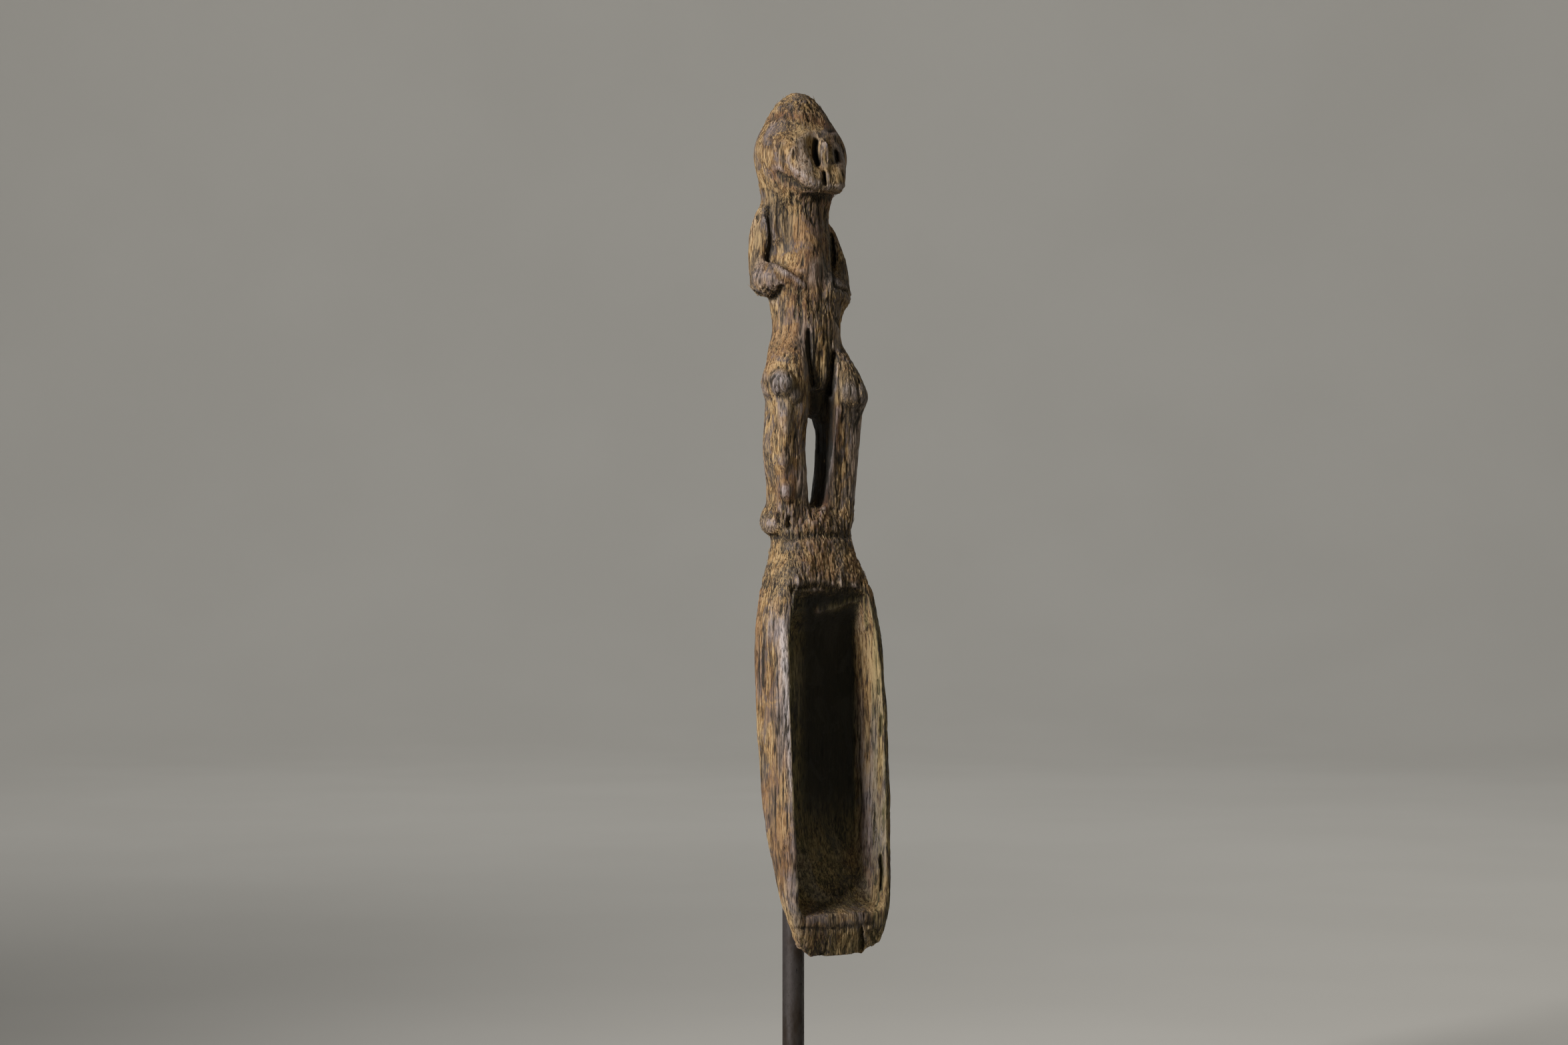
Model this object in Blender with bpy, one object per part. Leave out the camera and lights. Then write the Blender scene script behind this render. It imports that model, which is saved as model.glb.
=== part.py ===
"""Carved wooden bowl: a long trough with a standing figure as its handle, shown upright on a rod stand.

Lengths are in millimetres and become metres where a mesh is made. +Z is up and the bowl opens to -Y.
"""
import math

import bmesh
import bpy
from mathutils import Matrix, Vector

MM = 0.001
GAP = 0.3  # clearance between pieces that touch

# driving sizes of the stand
BASE_SIDE = 110.0
BASE_THICKNESS = 15.0
BASE_CORNER = 4.0
PAD_RADIUS = 8.0
PAD_THICKNESS = 3.0
PAD_INSET = 15.0
ROD_DIAMETER = 10.0
ROD_Y = 20.0
SOCKET_DIAMETER = 24.0
SOCKET_HEIGHT = 25.0
SOCKET_FLOOR = 5.0
SPIGOT_DIAMETER = 12.0
SCREW_HEIGHT = 14.0  # thumb screw axis above the foot of the socket
SCREW_DIAMETER = 5.0
KNOB_DIAMETER = 13.0
KNOB_LENGTH = 8.0
KNOB_RIBS = 18
KNOB_RIB_DEPTH = 0.5
COUNTERBORE_DIAMETER = 30.0
COUNTERBORE_DEPTH = 9.0
NUT_ACROSS_FLATS = 18.0
NUT_THICKNESS = 5.0
WASHER_THICKNESS = 2.0

# driving sizes of the saddle behind the bowl
SADDLE_WIDTH = 30.0
SADDLE_HEIGHT = 24.0
SADDLE_THICKNESS = 2.0
SADDLE_Z = 124.0  # height of its centre above the tip of the bowl
SADDLE_SCREW_SPREAD = 10.0
SADDLE_SCREW_DIAMETER = 3.0
SADDLE_SCREW_DEPTH = 6.0
SADDLE_HEAD_DIAMETER = 6.0
ROD_ABOVE_SADDLE = 6.0

# the carving's own frame: its neck axis is at x = y = 0 and its tip is at z = 0
TIP_HEIGHT = 95.0
ROD_OFFSET_X = 2.4  # the rod stands a little to one side of the carving's middle
ROD_OFFSET_Y = 18.6
CARVING_ORIGIN = Vector((-ROD_OFFSET_X, ROD_Y - ROD_OFFSET_Y, TIP_HEIGHT))

# clearances around the fasteners
HOLE_CLEARANCE = 0.3
BORE_CLEARANCE = 0.1
CUT_THROUGH = 5.0  # how far a cutter runs past the face it opens
SLOT_WIDTH = 0.8
SLOT_LENGTH = 8.0
SLOT_DEPTH = 0.8
SCREW_HEAD_HEIGHT = 2.0
SHARP_ANGLE = 35.0  # edges sharper than this stay sharp in the shading
BASE_Z = PAD_THICKNESS + GAP
BASE_TOP = BASE_Z + BASE_THICKNESS
SOCKET_Z = BASE_TOP + GAP


def material(name, colour, roughness, metallic=0.0):
    """A plain Principled material."""
    made = bpy.data.materials.new(name)
    made.use_nodes = True
    shader = made.node_tree.nodes["Principled BSDF"]
    shader.inputs["Base Color"].default_value = (*colour, 1.0)
    shader.inputs["Roughness"].default_value = roughness
    shader.inputs["Metallic"].default_value = metallic
    return made


def shade(mesh):
    """Smooth shading with sharp machined edges."""
    mesh.shade_smooth()
    mesh.set_sharp_from_angle(angle=math.radians(SHARP_ANGLE))


def finish(bm, name):
    """Turns a bmesh drawn in millimetres into a smooth-shaded object in metres."""
    bmesh.ops.recalc_face_normals(bm, faces=bm.faces)
    bmesh.ops.scale(bm, vec=(MM, MM, MM), verts=bm.verts)
    mesh = bpy.data.meshes.new(name)
    bm.to_mesh(mesh)
    bm.free()
    shade(mesh)
    made = bpy.data.objects.new(name, mesh)
    bpy.context.scene.collection.objects.link(made)
    return made


def skin(bm, rings):
    """Joins rings of equal length into a closed skin with flat ends."""
    loops = [[bm.verts.new(point) for point in ring] for ring in rings]
    count = len(loops[0])
    for low, high in zip(loops, loops[1:]):
        for i in range(count):
            j = (i + 1) % count
            bm.faces.new((low[i], low[j], high[j], high[i]))
    bm.faces.new(list(reversed(loops[0])))
    bm.faces.new(loops[-1])


def cylinder(bm, radius, low, high, centre=(0.0, 0.0), axis="Z", sides=48, bevel=0.0):
    """Adds a turned bar from low to high along an axis; centre is its place across that axis."""
    profile = [(radius, low), (radius, high)]
    if bevel > 0.0:
        small = radius - bevel
        profile = [(small, low), (radius, low + bevel), (radius, high - bevel), (small, high)]
    rings = []
    for r, along in profile:
        ring = []
        for i in range(sides):
            turn = 2.0 * math.pi * i / sides
            u = centre[0] + r * math.cos(turn)
            v = centre[1] + r * math.sin(turn)
            ring.append((u, v, along) if axis == "Z" else (u, along, v))
        rings.append(ring)
    skin(bm, rings)


def turned(name, *args, **options):
    """A turned bar as an object of its own."""
    bm = bmesh.new()
    cylinder(bm, *args, **options)
    return finish(bm, name)


def paint(piece, coat):
    """Gives a finished piece its one material and its shading."""
    shade(piece.data)
    piece.data.materials.clear()
    piece.data.materials.append(coat)


def combine(target, other, operation):
    """Applies an exact Boolean to target and removes the other object."""
    step = target.modifiers.new("step", "BOOLEAN")
    step.operation = operation
    step.solver = "EXACT"
    step.use_self = True
    step.object = other
    bpy.context.view_layer.update()
    shape = bpy.data.meshes.new_from_object(target.evaluated_get(bpy.context.evaluated_depsgraph_get()))
    target.modifiers.remove(step)
    target.data = shape
    bpy.data.objects.remove(other)
    return target


def section(x, y, half_width, front, back, front_power, back_power, sides, twist=0.0):
    """A closed outline: half a superellipse to the front and half of another to the back."""
    outline = []
    for i in range(sides):
        turn = 2.0 * math.pi * (i + 0.5) / sides
        reach = back if math.sin(turn) > 0.0 else front
        power = back_power if math.sin(turn) > 0.0 else front_power
        across = math.copysign(abs(math.cos(turn)) ** (2.0 / power), math.cos(turn)) * half_width
        along = math.copysign(abs(math.sin(turn)) ** (2.0 / power), math.sin(turn)) * reach
        outline.append((across, along))
    cosine = math.cos(math.radians(twist))
    sine = math.sin(math.radians(twist))
    return [(x + u * cosine - v * sine, y + u * sine + v * cosine) for u, v in outline]


def between(stations, place):
    """Reads smooth values between stations at a place given by their first number."""
    keys = [station[0] for station in stations]
    index = max(i for i in range(len(keys) - 1) if keys[i] <= place or i == 0)
    before = stations[max(index - 1, 0)]
    start = stations[index]
    end = stations[index + 1]
    after = stations[min(index + 2, len(stations) - 1)]
    span = end[0] - start[0]
    t = min(max((place - start[0]) / span, 0.0), 1.0)
    values = []
    for p, a, b, n in zip(before[1:], start[1:], end[1:], after[1:]):
        left = (b - p) / (end[0] - before[0]) * span
        right = (n - a) / (after[0] - start[0]) * span
        if (b - a) * left <= 0.0:
            left = 0.0
        if (b - a) * right <= 0.0:
            right = 0.0
        h = t * t * (3.0 - 2.0 * t)
        values.append(a * (1.0 - h) + b * h + t * (1.0 - t) * ((1.0 - t) * left - t * right))
    return values


def loft(name, stations, spacing, sides, twist=0.0):
    """A standing form. A station is (z, x, y, half_width, front, back, front_power, back_power)."""
    low = stations[0][0]
    high = stations[-1][0]
    steps = max(2, round((high - low) / spacing))
    rings = []
    for i in range(steps + 1):
        z = low + (high - low) * i / steps
        x, y, half_width, front, back, front_power, back_power = between(stations, z)
        outline = section(x, y, half_width, front, back, front_power, back_power, sides, twist)
        rings.append([CARVING_ORIGIN + Vector((u, v, z)) for u, v in outline])
    bm = bmesh.new()
    skin(bm, rings)
    return finish(bm, name)


def ellipsoid(name, centre, radii):
    """A rounded lump."""
    bm = bmesh.new()
    bmesh.ops.create_icosphere(bm, subdivisions=3, radius=1.0)
    place = Matrix.Translation(CARVING_ORIGIN + Vector(centre))
    bmesh.ops.transform(bm, matrix=place @ Matrix.Diagonal((*radii, 1.0)), verts=bm.verts)
    return finish(bm, name)


def limb(name, points, sides=18, spacing=4.0):
    """A bent round form through (x, y, z, radius) points, with domed ends."""
    path = [(float(i), *point) for i, point in enumerate(points)]
    length = sum((Vector(a[:3]) - Vector(b[:3])).length for a, b in zip(points, points[1:]))
    steps = max(4, round(length / spacing))
    samples = [between(path, (len(points) - 1) * i / steps) for i in range(steps + 1)]
    centres = [Vector(sample[:3]) for sample in samples]
    radii = [sample[3] for sample in samples]
    tangents = [(centres[min(i + 1, steps)] - centres[max(i - 1, 0)]).normalized() for i in range(steps + 1)]
    start = []
    end = []
    for dome in (75.0, 50.0, 25.0):
        out = math.sin(math.radians(dome))
        width = math.cos(math.radians(dome))
        start.append((centres[0] - tangents[0] * radii[0] * out, tangents[0], radii[0] * width))
        end.insert(0, (centres[-1] + tangents[-1] * radii[-1] * out, tangents[-1], radii[-1] * width))
    rings = []
    for centre, tangent, radius in start + list(zip(centres, tangents, radii)) + end:
        side = tangent.cross(Vector((0.0, 1.0, 0.02))).normalized()
        front = side.cross(tangent).normalized()
        ring = []
        for i in range(sides):
            turn = 2.0 * math.pi * i / sides
            offset = side * (radius * math.cos(turn)) + front * (radius * math.sin(turn))
            ring.append(CARVING_ORIGIN + centre + offset)
        rings.append(ring)
    bm = bmesh.new()
    skin(bm, rings)
    return finish(bm, name)


def block(name, low, high, taper=1.0, bevel=0.0):
    """A box between two corners; taper narrows its top."""
    bm = bmesh.new()
    rings = []
    middle = (low[0] + high[0]) / 2.0
    for z, scale in ((low[2], 1.0), (high[2], taper)):
        half = (high[0] - low[0]) / 2.0 * scale
        left = middle - half
        right = middle + half
        corners = [(left, low[1]), (right, low[1]), (right, high[1]), (left, high[1])]
        rings.append([CARVING_ORIGIN + Vector((u, v, z)) for u, v in corners])
    skin(bm, rings)
    if bevel > 0.0:
        bmesh.ops.bevel(bm, geom=bm.edges[:], offset=bevel, segments=2, affect="EDGES", profile=0.5)
    return finish(bm, name)


# ---- the carving -------------------------------------------------------------------------------------------

def bowl_body():
    """The boat-shaped trough from its tip to the neck below the feet."""
    stations = [
        (0.0, -1.6, -22.4, 13.6, 1.3, 1.8, 3.2, 2.2),
        (4.8, 0.0, -20.2, 21.6, 4.0, 2.2, 6.0, 2.4),
        (10.6, 0.0, -20.5, 23.4, 5.0, 3.4, 9.0, 2.6),
        (21.0, 0.0, -19.0, 26.6, 6.8, 7.2, 10.0, 2.8),
        (37.0, 0.0, -15.5, 27.8, 10.2, 10.8, 10.0, 2.8),
        (55.0, 0.0, -11.0, 28.5, 13.8, 12.8, 10.0, 3.0),
        (76.0, 0.0, -7.0, 28.8, 16.6, 14.6, 10.0, 3.0),
        (100.0, 0.0, -5.5, 28.6, 17.0, 15.8, 10.0, 3.2),
        (130.0, 0.0, -3.5, 28.4, 16.6, 14.4, 10.0, 3.6),
        (145.0, 0.0, -2.5, 27.8, 15.7, 14.0, 9.0, 3.4),
        (161.0, 0.0, -2.0, 25.4, 14.9, 14.4, 7.0, 3.2),
        (172.0, 0.0, -1.0, 22.0, 13.6, 14.2, 5.0, 2.9),
        (180.0, 0.0, 0.0, 19.6, 12.8, 13.4, 3.6, 2.7),
        (187.0, 0.0, 0.8, 18.6, 12.4, 12.2, 3.0, 2.5),
        (194.0, 0.0, 1.4, 18.4, 11.6, 11.6, 2.8, 2.4),
        (200.0, 0.0, 2.0, 16.6, 9.0, 10.0, 2.6, 2.4),
    ]
    return loft("bowl_body", stations, 5.4, 36)


def trough_cutter():
    """The deep hollow: wide at the rim, a little narrower at the floor, sloping up to the lip at its foot."""
    stations = [
        # z, half-width at the rim, half-width of the floor, y of the floor
        (17.4, 22.0, 21.6, -27.0),
        (20.0, 22.4, 21.4, -21.6),
        (22.6, 22.8, 21.2, -17.8),
        (28.0, 23.2, 20.8, -14.6),
        (36.0, 23.5, 20.6, -10.8),
        (46.0, 23.8, 20.8, -6.6),
        (60.0, 24.2, 21.2, -3.8),
        (85.0, 24.8, 21.6, -2.6),
        (115.0, 25.2, 21.4, -2.2),
        (138.0, 25.0, 20.8, -2.2),
        (146.0, 24.4, 20.0, -3.2),
        (151.0, 23.6, 19.8, -6.2),
        (155.0, 22.8, 19.8, -10.4),
        (160.0, 22.0, 19.8, -11.8),
        (163.6, 21.4, 19.6, -14.6),
        (165.6, 21.0, 19.4, -18.4),
    ]
    rings = []
    steps = 25
    front_y = -30.0
    flare = 0.8
    quarter = (0.0, 22.5, 45.0, 67.5, 90.0)
    for i in range(steps + 1):
        z = stations[0][0] + (stations[-1][0] - stations[0][0]) * i / steps
        rim, floor, floor_y = between(stations, z)
        corner = min(4.5, (floor_y - front_y) * 0.3)
        wall_y = min(front_y + 6.0, floor_y - corner - 0.4)
        outline = [(-rim - flare, front_y), (rim + flare, front_y), (rim, wall_y)]
        rounded = []
        for turn in quarter:
            angle = math.radians(turn)
            inset = corner * (1.0 - math.cos(angle))
            rounded.append((floor - inset, floor_y - corner + corner * math.sin(angle)))
        outline += rounded
        outline += [(-u, v) for u, v in reversed(rounded)]
        outline.append((-rim, wall_y))
        rings.append([CARVING_ORIGIN + Vector((u, v, z)) for u, v in outline])
    bm = bmesh.new()
    skin(bm, rings)
    return finish(bm, "trough_cutter")


def head():
    """Egg-shaped head with a cone-like crown, its front flattened for the face."""
    stations = [
        (336.0, -0.9, 12.2, 14.6, 13.8, 14.4, 2.4, 2.2),
        (342.0, -0.5, 11.4, 16.2, 16.0, 16.0, 2.4, 2.1),
        (348.0, 0.0, 10.2, 17.8, 17.4, 18.2, 2.8, 2.1),
        (354.0, 0.0, 9.6, 19.8, 17.6, 20.4, 3.0, 2.1),
        (360.0, 0.0, 9.4, 20.9, 16.6, 21.6, 3.0, 2.1),
        (366.0, 0.0, 9.8, 20.0, 15.4, 20.8, 2.8, 2.1),
        (371.0, 0.0, 10.6, 17.4, 14.0, 18.2, 2.5, 2.1),
        (377.0, 0.0, 11.6, 14.0, 12.8, 14.4, 2.2, 2.1),
        (383.0, 0.0, 12.2, 10.4, 10.0, 10.4, 2.1, 2.1),
        (387.0, 0.0, 11.6, 6.4, 6.4, 6.2, 2.1, 2.1),
        (388.6, 0.0, 11.0, 3.4, 3.4, 3.4, 2.1, 2.1),
    ]
    return loft("head", stations, 3.6, 30)


def chin():
    """The broad, jutting lower face."""
    stations = [
        (342.0, 0.0, 2.0, 10.4, 14.2, 8.0, 3.6, 2.4),
        (344.0, 0.0, 2.0, 12.4, 15.6, 8.0, 4.0, 2.4),
        (349.0, 0.0, 2.0, 14.2, 15.0, 8.0, 4.0, 2.4),
        (355.0, 0.0, 2.0, 15.6, 12.8, 8.0, 3.8, 2.4),
        (361.0, 0.0, 2.0, 16.0, 10.2, 8.0, 3.2, 2.4),
        (365.0, 0.0, 2.0, 14.6, 8.6, 8.0, 3.0, 2.4),
    ]
    return loft("chin", stations, 2.8, 26)


def trunk():
    """The belly, and above it a squared chest with one corner turned towards the front."""
    belly = [
        (262.0, 0.0, 3.0, 12.6, 10.4, 12.4, 2.4, 2.4),
        (272.0, 0.0, 3.8, 14.6, 12.4, 13.4, 2.4, 2.4),
        (285.0, 0.0, 5.0, 15.4, 13.4, 13.4, 2.6, 2.4),
        (296.0, 0.0, 6.4, 15.8, 13.4, 12.6, 2.8, 2.4),
        (306.0, 0.0, 7.4, 14.2, 12.0, 12.0, 2.8, 2.6),
        (314.0, 0.0, 8.4, 11.4, 9.6, 11.0, 2.6, 2.4),
    ]
    chest = [
        (294.0, 0.0, 7.0, 11.6, 11.0, 11.6, 2.9, 2.9),
        (303.0, 0.0, 7.0, 13.0, 13.0, 12.6, 2.9, 2.9),
        (314.0, 0.0, 8.0, 13.0, 13.0, 12.6, 2.9, 2.9),
        (328.0, 0.0, 10.0, 12.6, 12.6, 12.6, 2.9, 2.9),
        (344.0, 0.0, 12.2, 13.2, 13.2, 13.2, 2.7, 2.7),
    ]
    return [loft("belly", belly, 5.6, 28), loft("chest", chest, 5.6, 28, twist=25.0)]


def arms():
    """Sloping shoulders and bent arms whose hands rest on the belly."""
    return [
        limb("shoulders", [(-14.0, 13.6, 325.0, 8.0), (0.0, 13.4, 331.0, 9.8), (10.6, 12.6, 325.0, 7.4)]),
        ellipsoid("left_shoulder", (-7.8, 13.0, 328.0), (14.4, 9.8, 13.0)),
        limb("left_upper_arm", [(-15.0, 14.6, 326.0, 7.6), (-16.4, 15.6, 317.0, 6.4), (-17.0, 13.6, 306.0, 6.8)],
             sides=20),
        ellipsoid("left_elbow", (-17.4, 10.4, 303.4), (8.0, 8.4, 8.2)),
        limb("left_forearm", [(-16.6, 8.6, 303.8, 7.6), (-14.0, 1.4, 303.6, 6.0), (-8.6, -3.6, 304.0, 3.8)]),
        limb("right_upper_arm", [(12.4, 11.6, 324.0, 7.2), (15.4, 8.6, 312.0, 7.6), (16.4, 6.6, 298.0, 8.2)]),
        limb("right_forearm", [(16.0, 4.6, 296.4, 7.8), (12.6, -1.0, 298.0, 6.4), (7.4, -4.4, 300.6, 4.6)]),
    ]


def legs():
    """Bent knees over shins with squared sides."""
    left_shin = [
        (192.0, -12.6, 3.2, 8.8, 9.6, 9.6, 3.8, 2.6),
        (204.0, -13.0, 0.6, 7.6, 9.2, 9.4, 3.8, 2.6),
        (226.0, -15.2, 0.2, 8.6, 9.8, 9.8, 4.0, 2.6),
        (243.0, -14.2, -0.4, 7.8, 9.8, 10.0, 4.0, 2.6),
        (254.0, -13.2, -0.6, 9.2, 10.2, 10.6, 3.0, 2.4),
        (264.0, -10.6, 1.6, 8.0, 9.0, 10.0, 2.6, 2.4),
    ]
    right_shin = [
        (192.0, 11.8, 2.4, 8.8, 9.4, 9.4, 4.0, 2.6),
        (206.0, 11.8, 1.4, 8.2, 9.2, 9.2, 4.4, 2.6),
        (222.0, 13.0, 0.4, 8.2, 9.4, 9.4, 4.6, 2.6),
        (236.0, 13.6, -0.6, 8.2, 9.8, 9.8, 4.6, 2.6),
        (252.0, 13.8, -2.0, 8.8, 10.0, 10.8, 3.0, 2.4),
        (264.0, 9.6, 1.0, 7.6, 8.6, 10.0, 2.4, 2.4),
    ]
    return [
        loft("left_shin", left_shin, 6.0, 24),
        loft("right_shin", right_shin, 6.0, 24),
        limb("left_thigh", [(-7.6, 4.4, 276.0, 9.2), (-11.4, 1.0, 266.0, 10.6), (-14.0, -1.6, 254.0, 10.6)]),
        limb("right_thigh", [(5.6, 4.6, 276.0, 8.8), (9.4, 0.4, 266.0, 9.6), (14.2, -3.6, 255.0, 10.0)]),
        ellipsoid("left_kneecap", (-18.8, -5.6, 255.6), (6.6, 6.6, 7.4)),
        ellipsoid("right_kneecap", (17.2, -8.8, 251.6), (6.2, 6.4, 6.8)),
        ellipsoid("left_foot", (-13.8, 3.2, 195.6), (9.0, 11.4, 8.0)),
        ellipsoid("right_foot", (13.2, 1.6, 196.0), (8.8, 11.2, 8.0)),
        ellipsoid("crotch", (0.4, 3.4, 251.0), (8.6, 7.4, 9.4)),
    ]


def hips():
    """The panel that hangs between the thighs, the fuller right flank and the buttocks."""
    return [
        ellipsoid("right_flank", (12.2, 6.0, 289.4), (7.8, 8.0, 9.0)),
        block("panel", (-5.4, -8.4, 252.5), (5.8, 8.0, 283.0), taper=1.1, bevel=2.4),
        ellipsoid("left_buttock", (-6.6, 11.6, 270.0), (8.8, 7.8, 11.0)),
        ellipsoid("right_buttock", (7.0, 11.6, 270.0), (8.8, 7.8, 11.0)),
    ]


def face_cutters():
    """Slots beside the nose, the slit of the far eye and the mouth."""
    return [
        block("near_eye", (-4.4, -16.0, 352.4), (-1.3, -3.0, 365.2), taper=0.9),
        block("far_eye", (8.2, -16.0, 355.6), (10.2, -4.2, 362.2), taper=0.9),
        block("mouth", (-1.5, -16.0, 344.8), (-0.1, -10.6, 351.2), taper=0.9),
    ]


def carving(wood):
    """The whole carving, cut from one block of wood."""
    form = bowl_body()
    for piece in [*trunk(), head(), chin(), *arms(), *legs(), *hips()]:
        combine(form, piece, "UNION")
    combine(form, block("nose", (-1.0, -12.8, 352.6), (1.6, -2.0, 366.6), taper=0.8, bevel=0.5), "UNION")
    combine(form, trough_cutter(), "DIFFERENCE")
    for cutter in face_cutters():
        combine(form, cutter, "DIFFERENCE")
    for x in saddle_screw_places():
        hole = turned("screw_hole", SADDLE_SCREW_DIAMETER / 2.0 + HOLE_CLEARANCE,
                      saddle_screw_tip() - 1.0, saddle_front_y() + CUT_THROUGH,
                      centre=(x, TIP_HEIGHT + SADDLE_Z), axis="Y", sides=20)
        combine(form, hole, "DIFFERENCE")
    form.name = "carved_bowl"
    form.data.name = "carved_bowl"
    paint(form, wood)


# ---- the saddle and the rod --------------------------------------------------------------------------------

def saddle_back_y():
    """The face of the saddle that the rod lies against."""
    return ROD_Y - ROD_DIAMETER / 2.0 - GAP


def saddle_front_y():
    """The face of the saddle that lies against the wood."""
    return saddle_back_y() - SADDLE_THICKNESS


def saddle_screw_tip():
    """How far forward the saddle screws reach into the wood."""
    return saddle_front_y() - GAP - SADDLE_SCREW_DEPTH


def saddle_screw_places():
    """World x of the two saddle screws."""
    return [-SADDLE_SCREW_SPREAD, SADDLE_SCREW_SPREAD]


def slab(name, half_x, half_y, low, high, corner, bevel):
    """An upright-edged plate with rounded corners and eased edges."""
    outline = []
    for sign_x, sign_y, start in ((1, 1, 0.0), (-1, 1, 90.0), (-1, -1, 180.0), (1, -1, 270.0)):
        for step in range(5):
            angle = math.radians(start + 22.5 * step)
            outline.append((sign_x * (half_x - corner) + corner * math.cos(angle),
                            sign_y * (half_y - corner) + corner * math.sin(angle)))
    rings = []
    for z, inset in ((low, bevel), (low + bevel, 0.0), (high - bevel, 0.0), (high, bevel)):
        rings.append([(u * (1.0 - inset / half_x), v * (1.0 - inset / half_y), z) for u, v in outline])
    bm = bmesh.new()
    skin(bm, rings)
    return finish(bm, name)


def saddle(brass):
    """The plate on the rod that the two wood screws pass through, and the screws."""
    plate = slab("saddle_plate", SADDLE_WIDTH / 2.0, SADDLE_HEIGHT / 2.0, 0.0, SADDLE_THICKNESS, 3.0, 0.4)
    plate.data.transform(Matrix.Rotation(math.radians(90.0), 4, "X"))
    plate.data.transform(Matrix.Translation(Vector((0.0, saddle_back_y(), TIP_HEIGHT + SADDLE_Z)) * MM))
    for x, side in zip(saddle_screw_places(), ("left", "right")):
        centre = (x, TIP_HEIGHT + SADDLE_Z)
        hole = turned("plate_hole", SADDLE_SCREW_DIAMETER / 2.0 + HOLE_CLEARANCE,
                      saddle_front_y() - CUT_THROUGH, saddle_back_y() + CUT_THROUGH,
                      centre=centre, axis="Y", sides=20)
        combine(plate, hole, "DIFFERENCE")
        seat = saddle_back_y() + GAP
        screw = turned("saddle_screw_" + side, SADDLE_SCREW_DIAMETER / 2.0, saddle_screw_tip(), seat + 0.6,
                       centre=centre, axis="Y", sides=20, bevel=0.8)
        head_bar = turned("screw_head", SADDLE_HEAD_DIAMETER / 2.0, seat, seat + SCREW_HEAD_HEIGHT,
                          centre=centre, axis="Y", sides=24, bevel=0.6)
        combine(screw, head_bar, "UNION")
        slot = block("slot", (-SLOT_WIDTH / 2.0, 0.0, -SLOT_LENGTH / 2.0),
                     (SLOT_WIDTH / 2.0, SCREW_HEAD_HEIGHT, SLOT_LENGTH / 2.0))
        slot_place = Vector((x, seat + SCREW_HEAD_HEIGHT - SLOT_DEPTH, centre[1])) - CARVING_ORIGIN
        slot.data.transform(Matrix.Translation(slot_place * MM))
        combine(screw, slot, "DIFFERENCE")
        paint(screw, brass)
    paint(plate, brass)


def rod(steel):
    """The upright rod, free to turn in its socket; its origin is on the turning axis."""
    low = SOCKET_Z + SOCKET_FLOOR + GAP
    high = TIP_HEIGHT + SADDLE_Z + SADDLE_HEIGHT / 2.0 + ROD_ABOVE_SADDLE
    bar = turned("stand_rod", ROD_DIAMETER / 2.0, 0.0, high - low, sides=48, bevel=0.8)
    bar.location = Vector((0.0, ROD_Y, low)) * MM
    paint(bar, steel)


# ---- the foot of the stand ---------------------------------------------------------------------------------

def base(painted):
    """A heavy square plate, counterbored from below under the socket."""
    half = BASE_SIDE / 2.0
    centre = (0.0, ROD_Y)
    plate = slab("base_plate", half, half, BASE_Z, BASE_TOP, BASE_CORNER, 1.0)
    through = turned("through", SPIGOT_DIAMETER / 2.0 + HOLE_CLEARANCE, BASE_Z - CUT_THROUGH,
                     BASE_TOP + CUT_THROUGH, centre=centre)
    combine(plate, through, "DIFFERENCE")
    counterbore = turned("counterbore", COUNTERBORE_DIAMETER / 2.0, BASE_Z - CUT_THROUGH,
                         BASE_Z + COUNTERBORE_DEPTH, centre=centre)
    combine(plate, counterbore, "DIFFERENCE")
    paint(plate, painted)


def socket(steel):
    """The turned boss that holds the rod, with a spigot down through the base."""
    centre = (0.0, ROD_Y)
    top = SOCKET_Z + SOCKET_HEIGHT
    boss = turned("rod_socket", SOCKET_DIAMETER / 2.0, SOCKET_Z, top, centre=centre, bevel=1.0)
    spigot_end = BASE_Z + COUNTERBORE_DEPTH - WASHER_THICKNESS - NUT_THICKNESS - 3.0 * GAP
    combine(boss, turned("spigot", SPIGOT_DIAMETER / 2.0, spigot_end, SOCKET_Z + 2.0, centre=centre), "UNION")
    bore = turned("bore", ROD_DIAMETER / 2.0 + BORE_CLEARANCE, SOCKET_Z + SOCKET_FLOOR, top + CUT_THROUGH,
                  centre=centre)
    combine(boss, bore, "DIFFERENCE")
    screw_way = turned("screw_way", SCREW_DIAMETER / 2.0 + HOLE_CLEARANCE, ROD_Y, ROD_Y + SOCKET_DIAMETER,
                       centre=(0.0, SOCKET_Z + SCREW_HEIGHT), axis="Y", sides=24)
    combine(boss, screw_way, "DIFFERENCE")
    paint(boss, steel)


def washer_and_nut(steel):
    """The washer and hexagon nut that hold the socket's spigot, inside the counterbore."""
    centre = (0.0, ROD_Y)
    washer_top = BASE_Z + COUNTERBORE_DEPTH - GAP
    washer_low = washer_top - WASHER_THICKNESS
    nut_top = washer_low - GAP
    nut_low = nut_top - NUT_THICKNESS
    washer = turned("socket_washer", COUNTERBORE_DIAMETER / 2.0 - 2.0, washer_low, washer_top, centre=centre)
    nut = turned("socket_nut", NUT_ACROSS_FLATS / math.sqrt(3.0), nut_low, nut_top, centre=centre, sides=6)
    for piece, low, high in ((washer, washer_low, washer_top), (nut, nut_low, nut_top)):
        hole = turned("hole", SPIGOT_DIAMETER / 2.0 + HOLE_CLEARANCE, low - CUT_THROUGH, high + CUT_THROUGH,
                      centre=centre)
        combine(piece, hole, "DIFFERENCE")
        paint(piece, steel)


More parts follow.
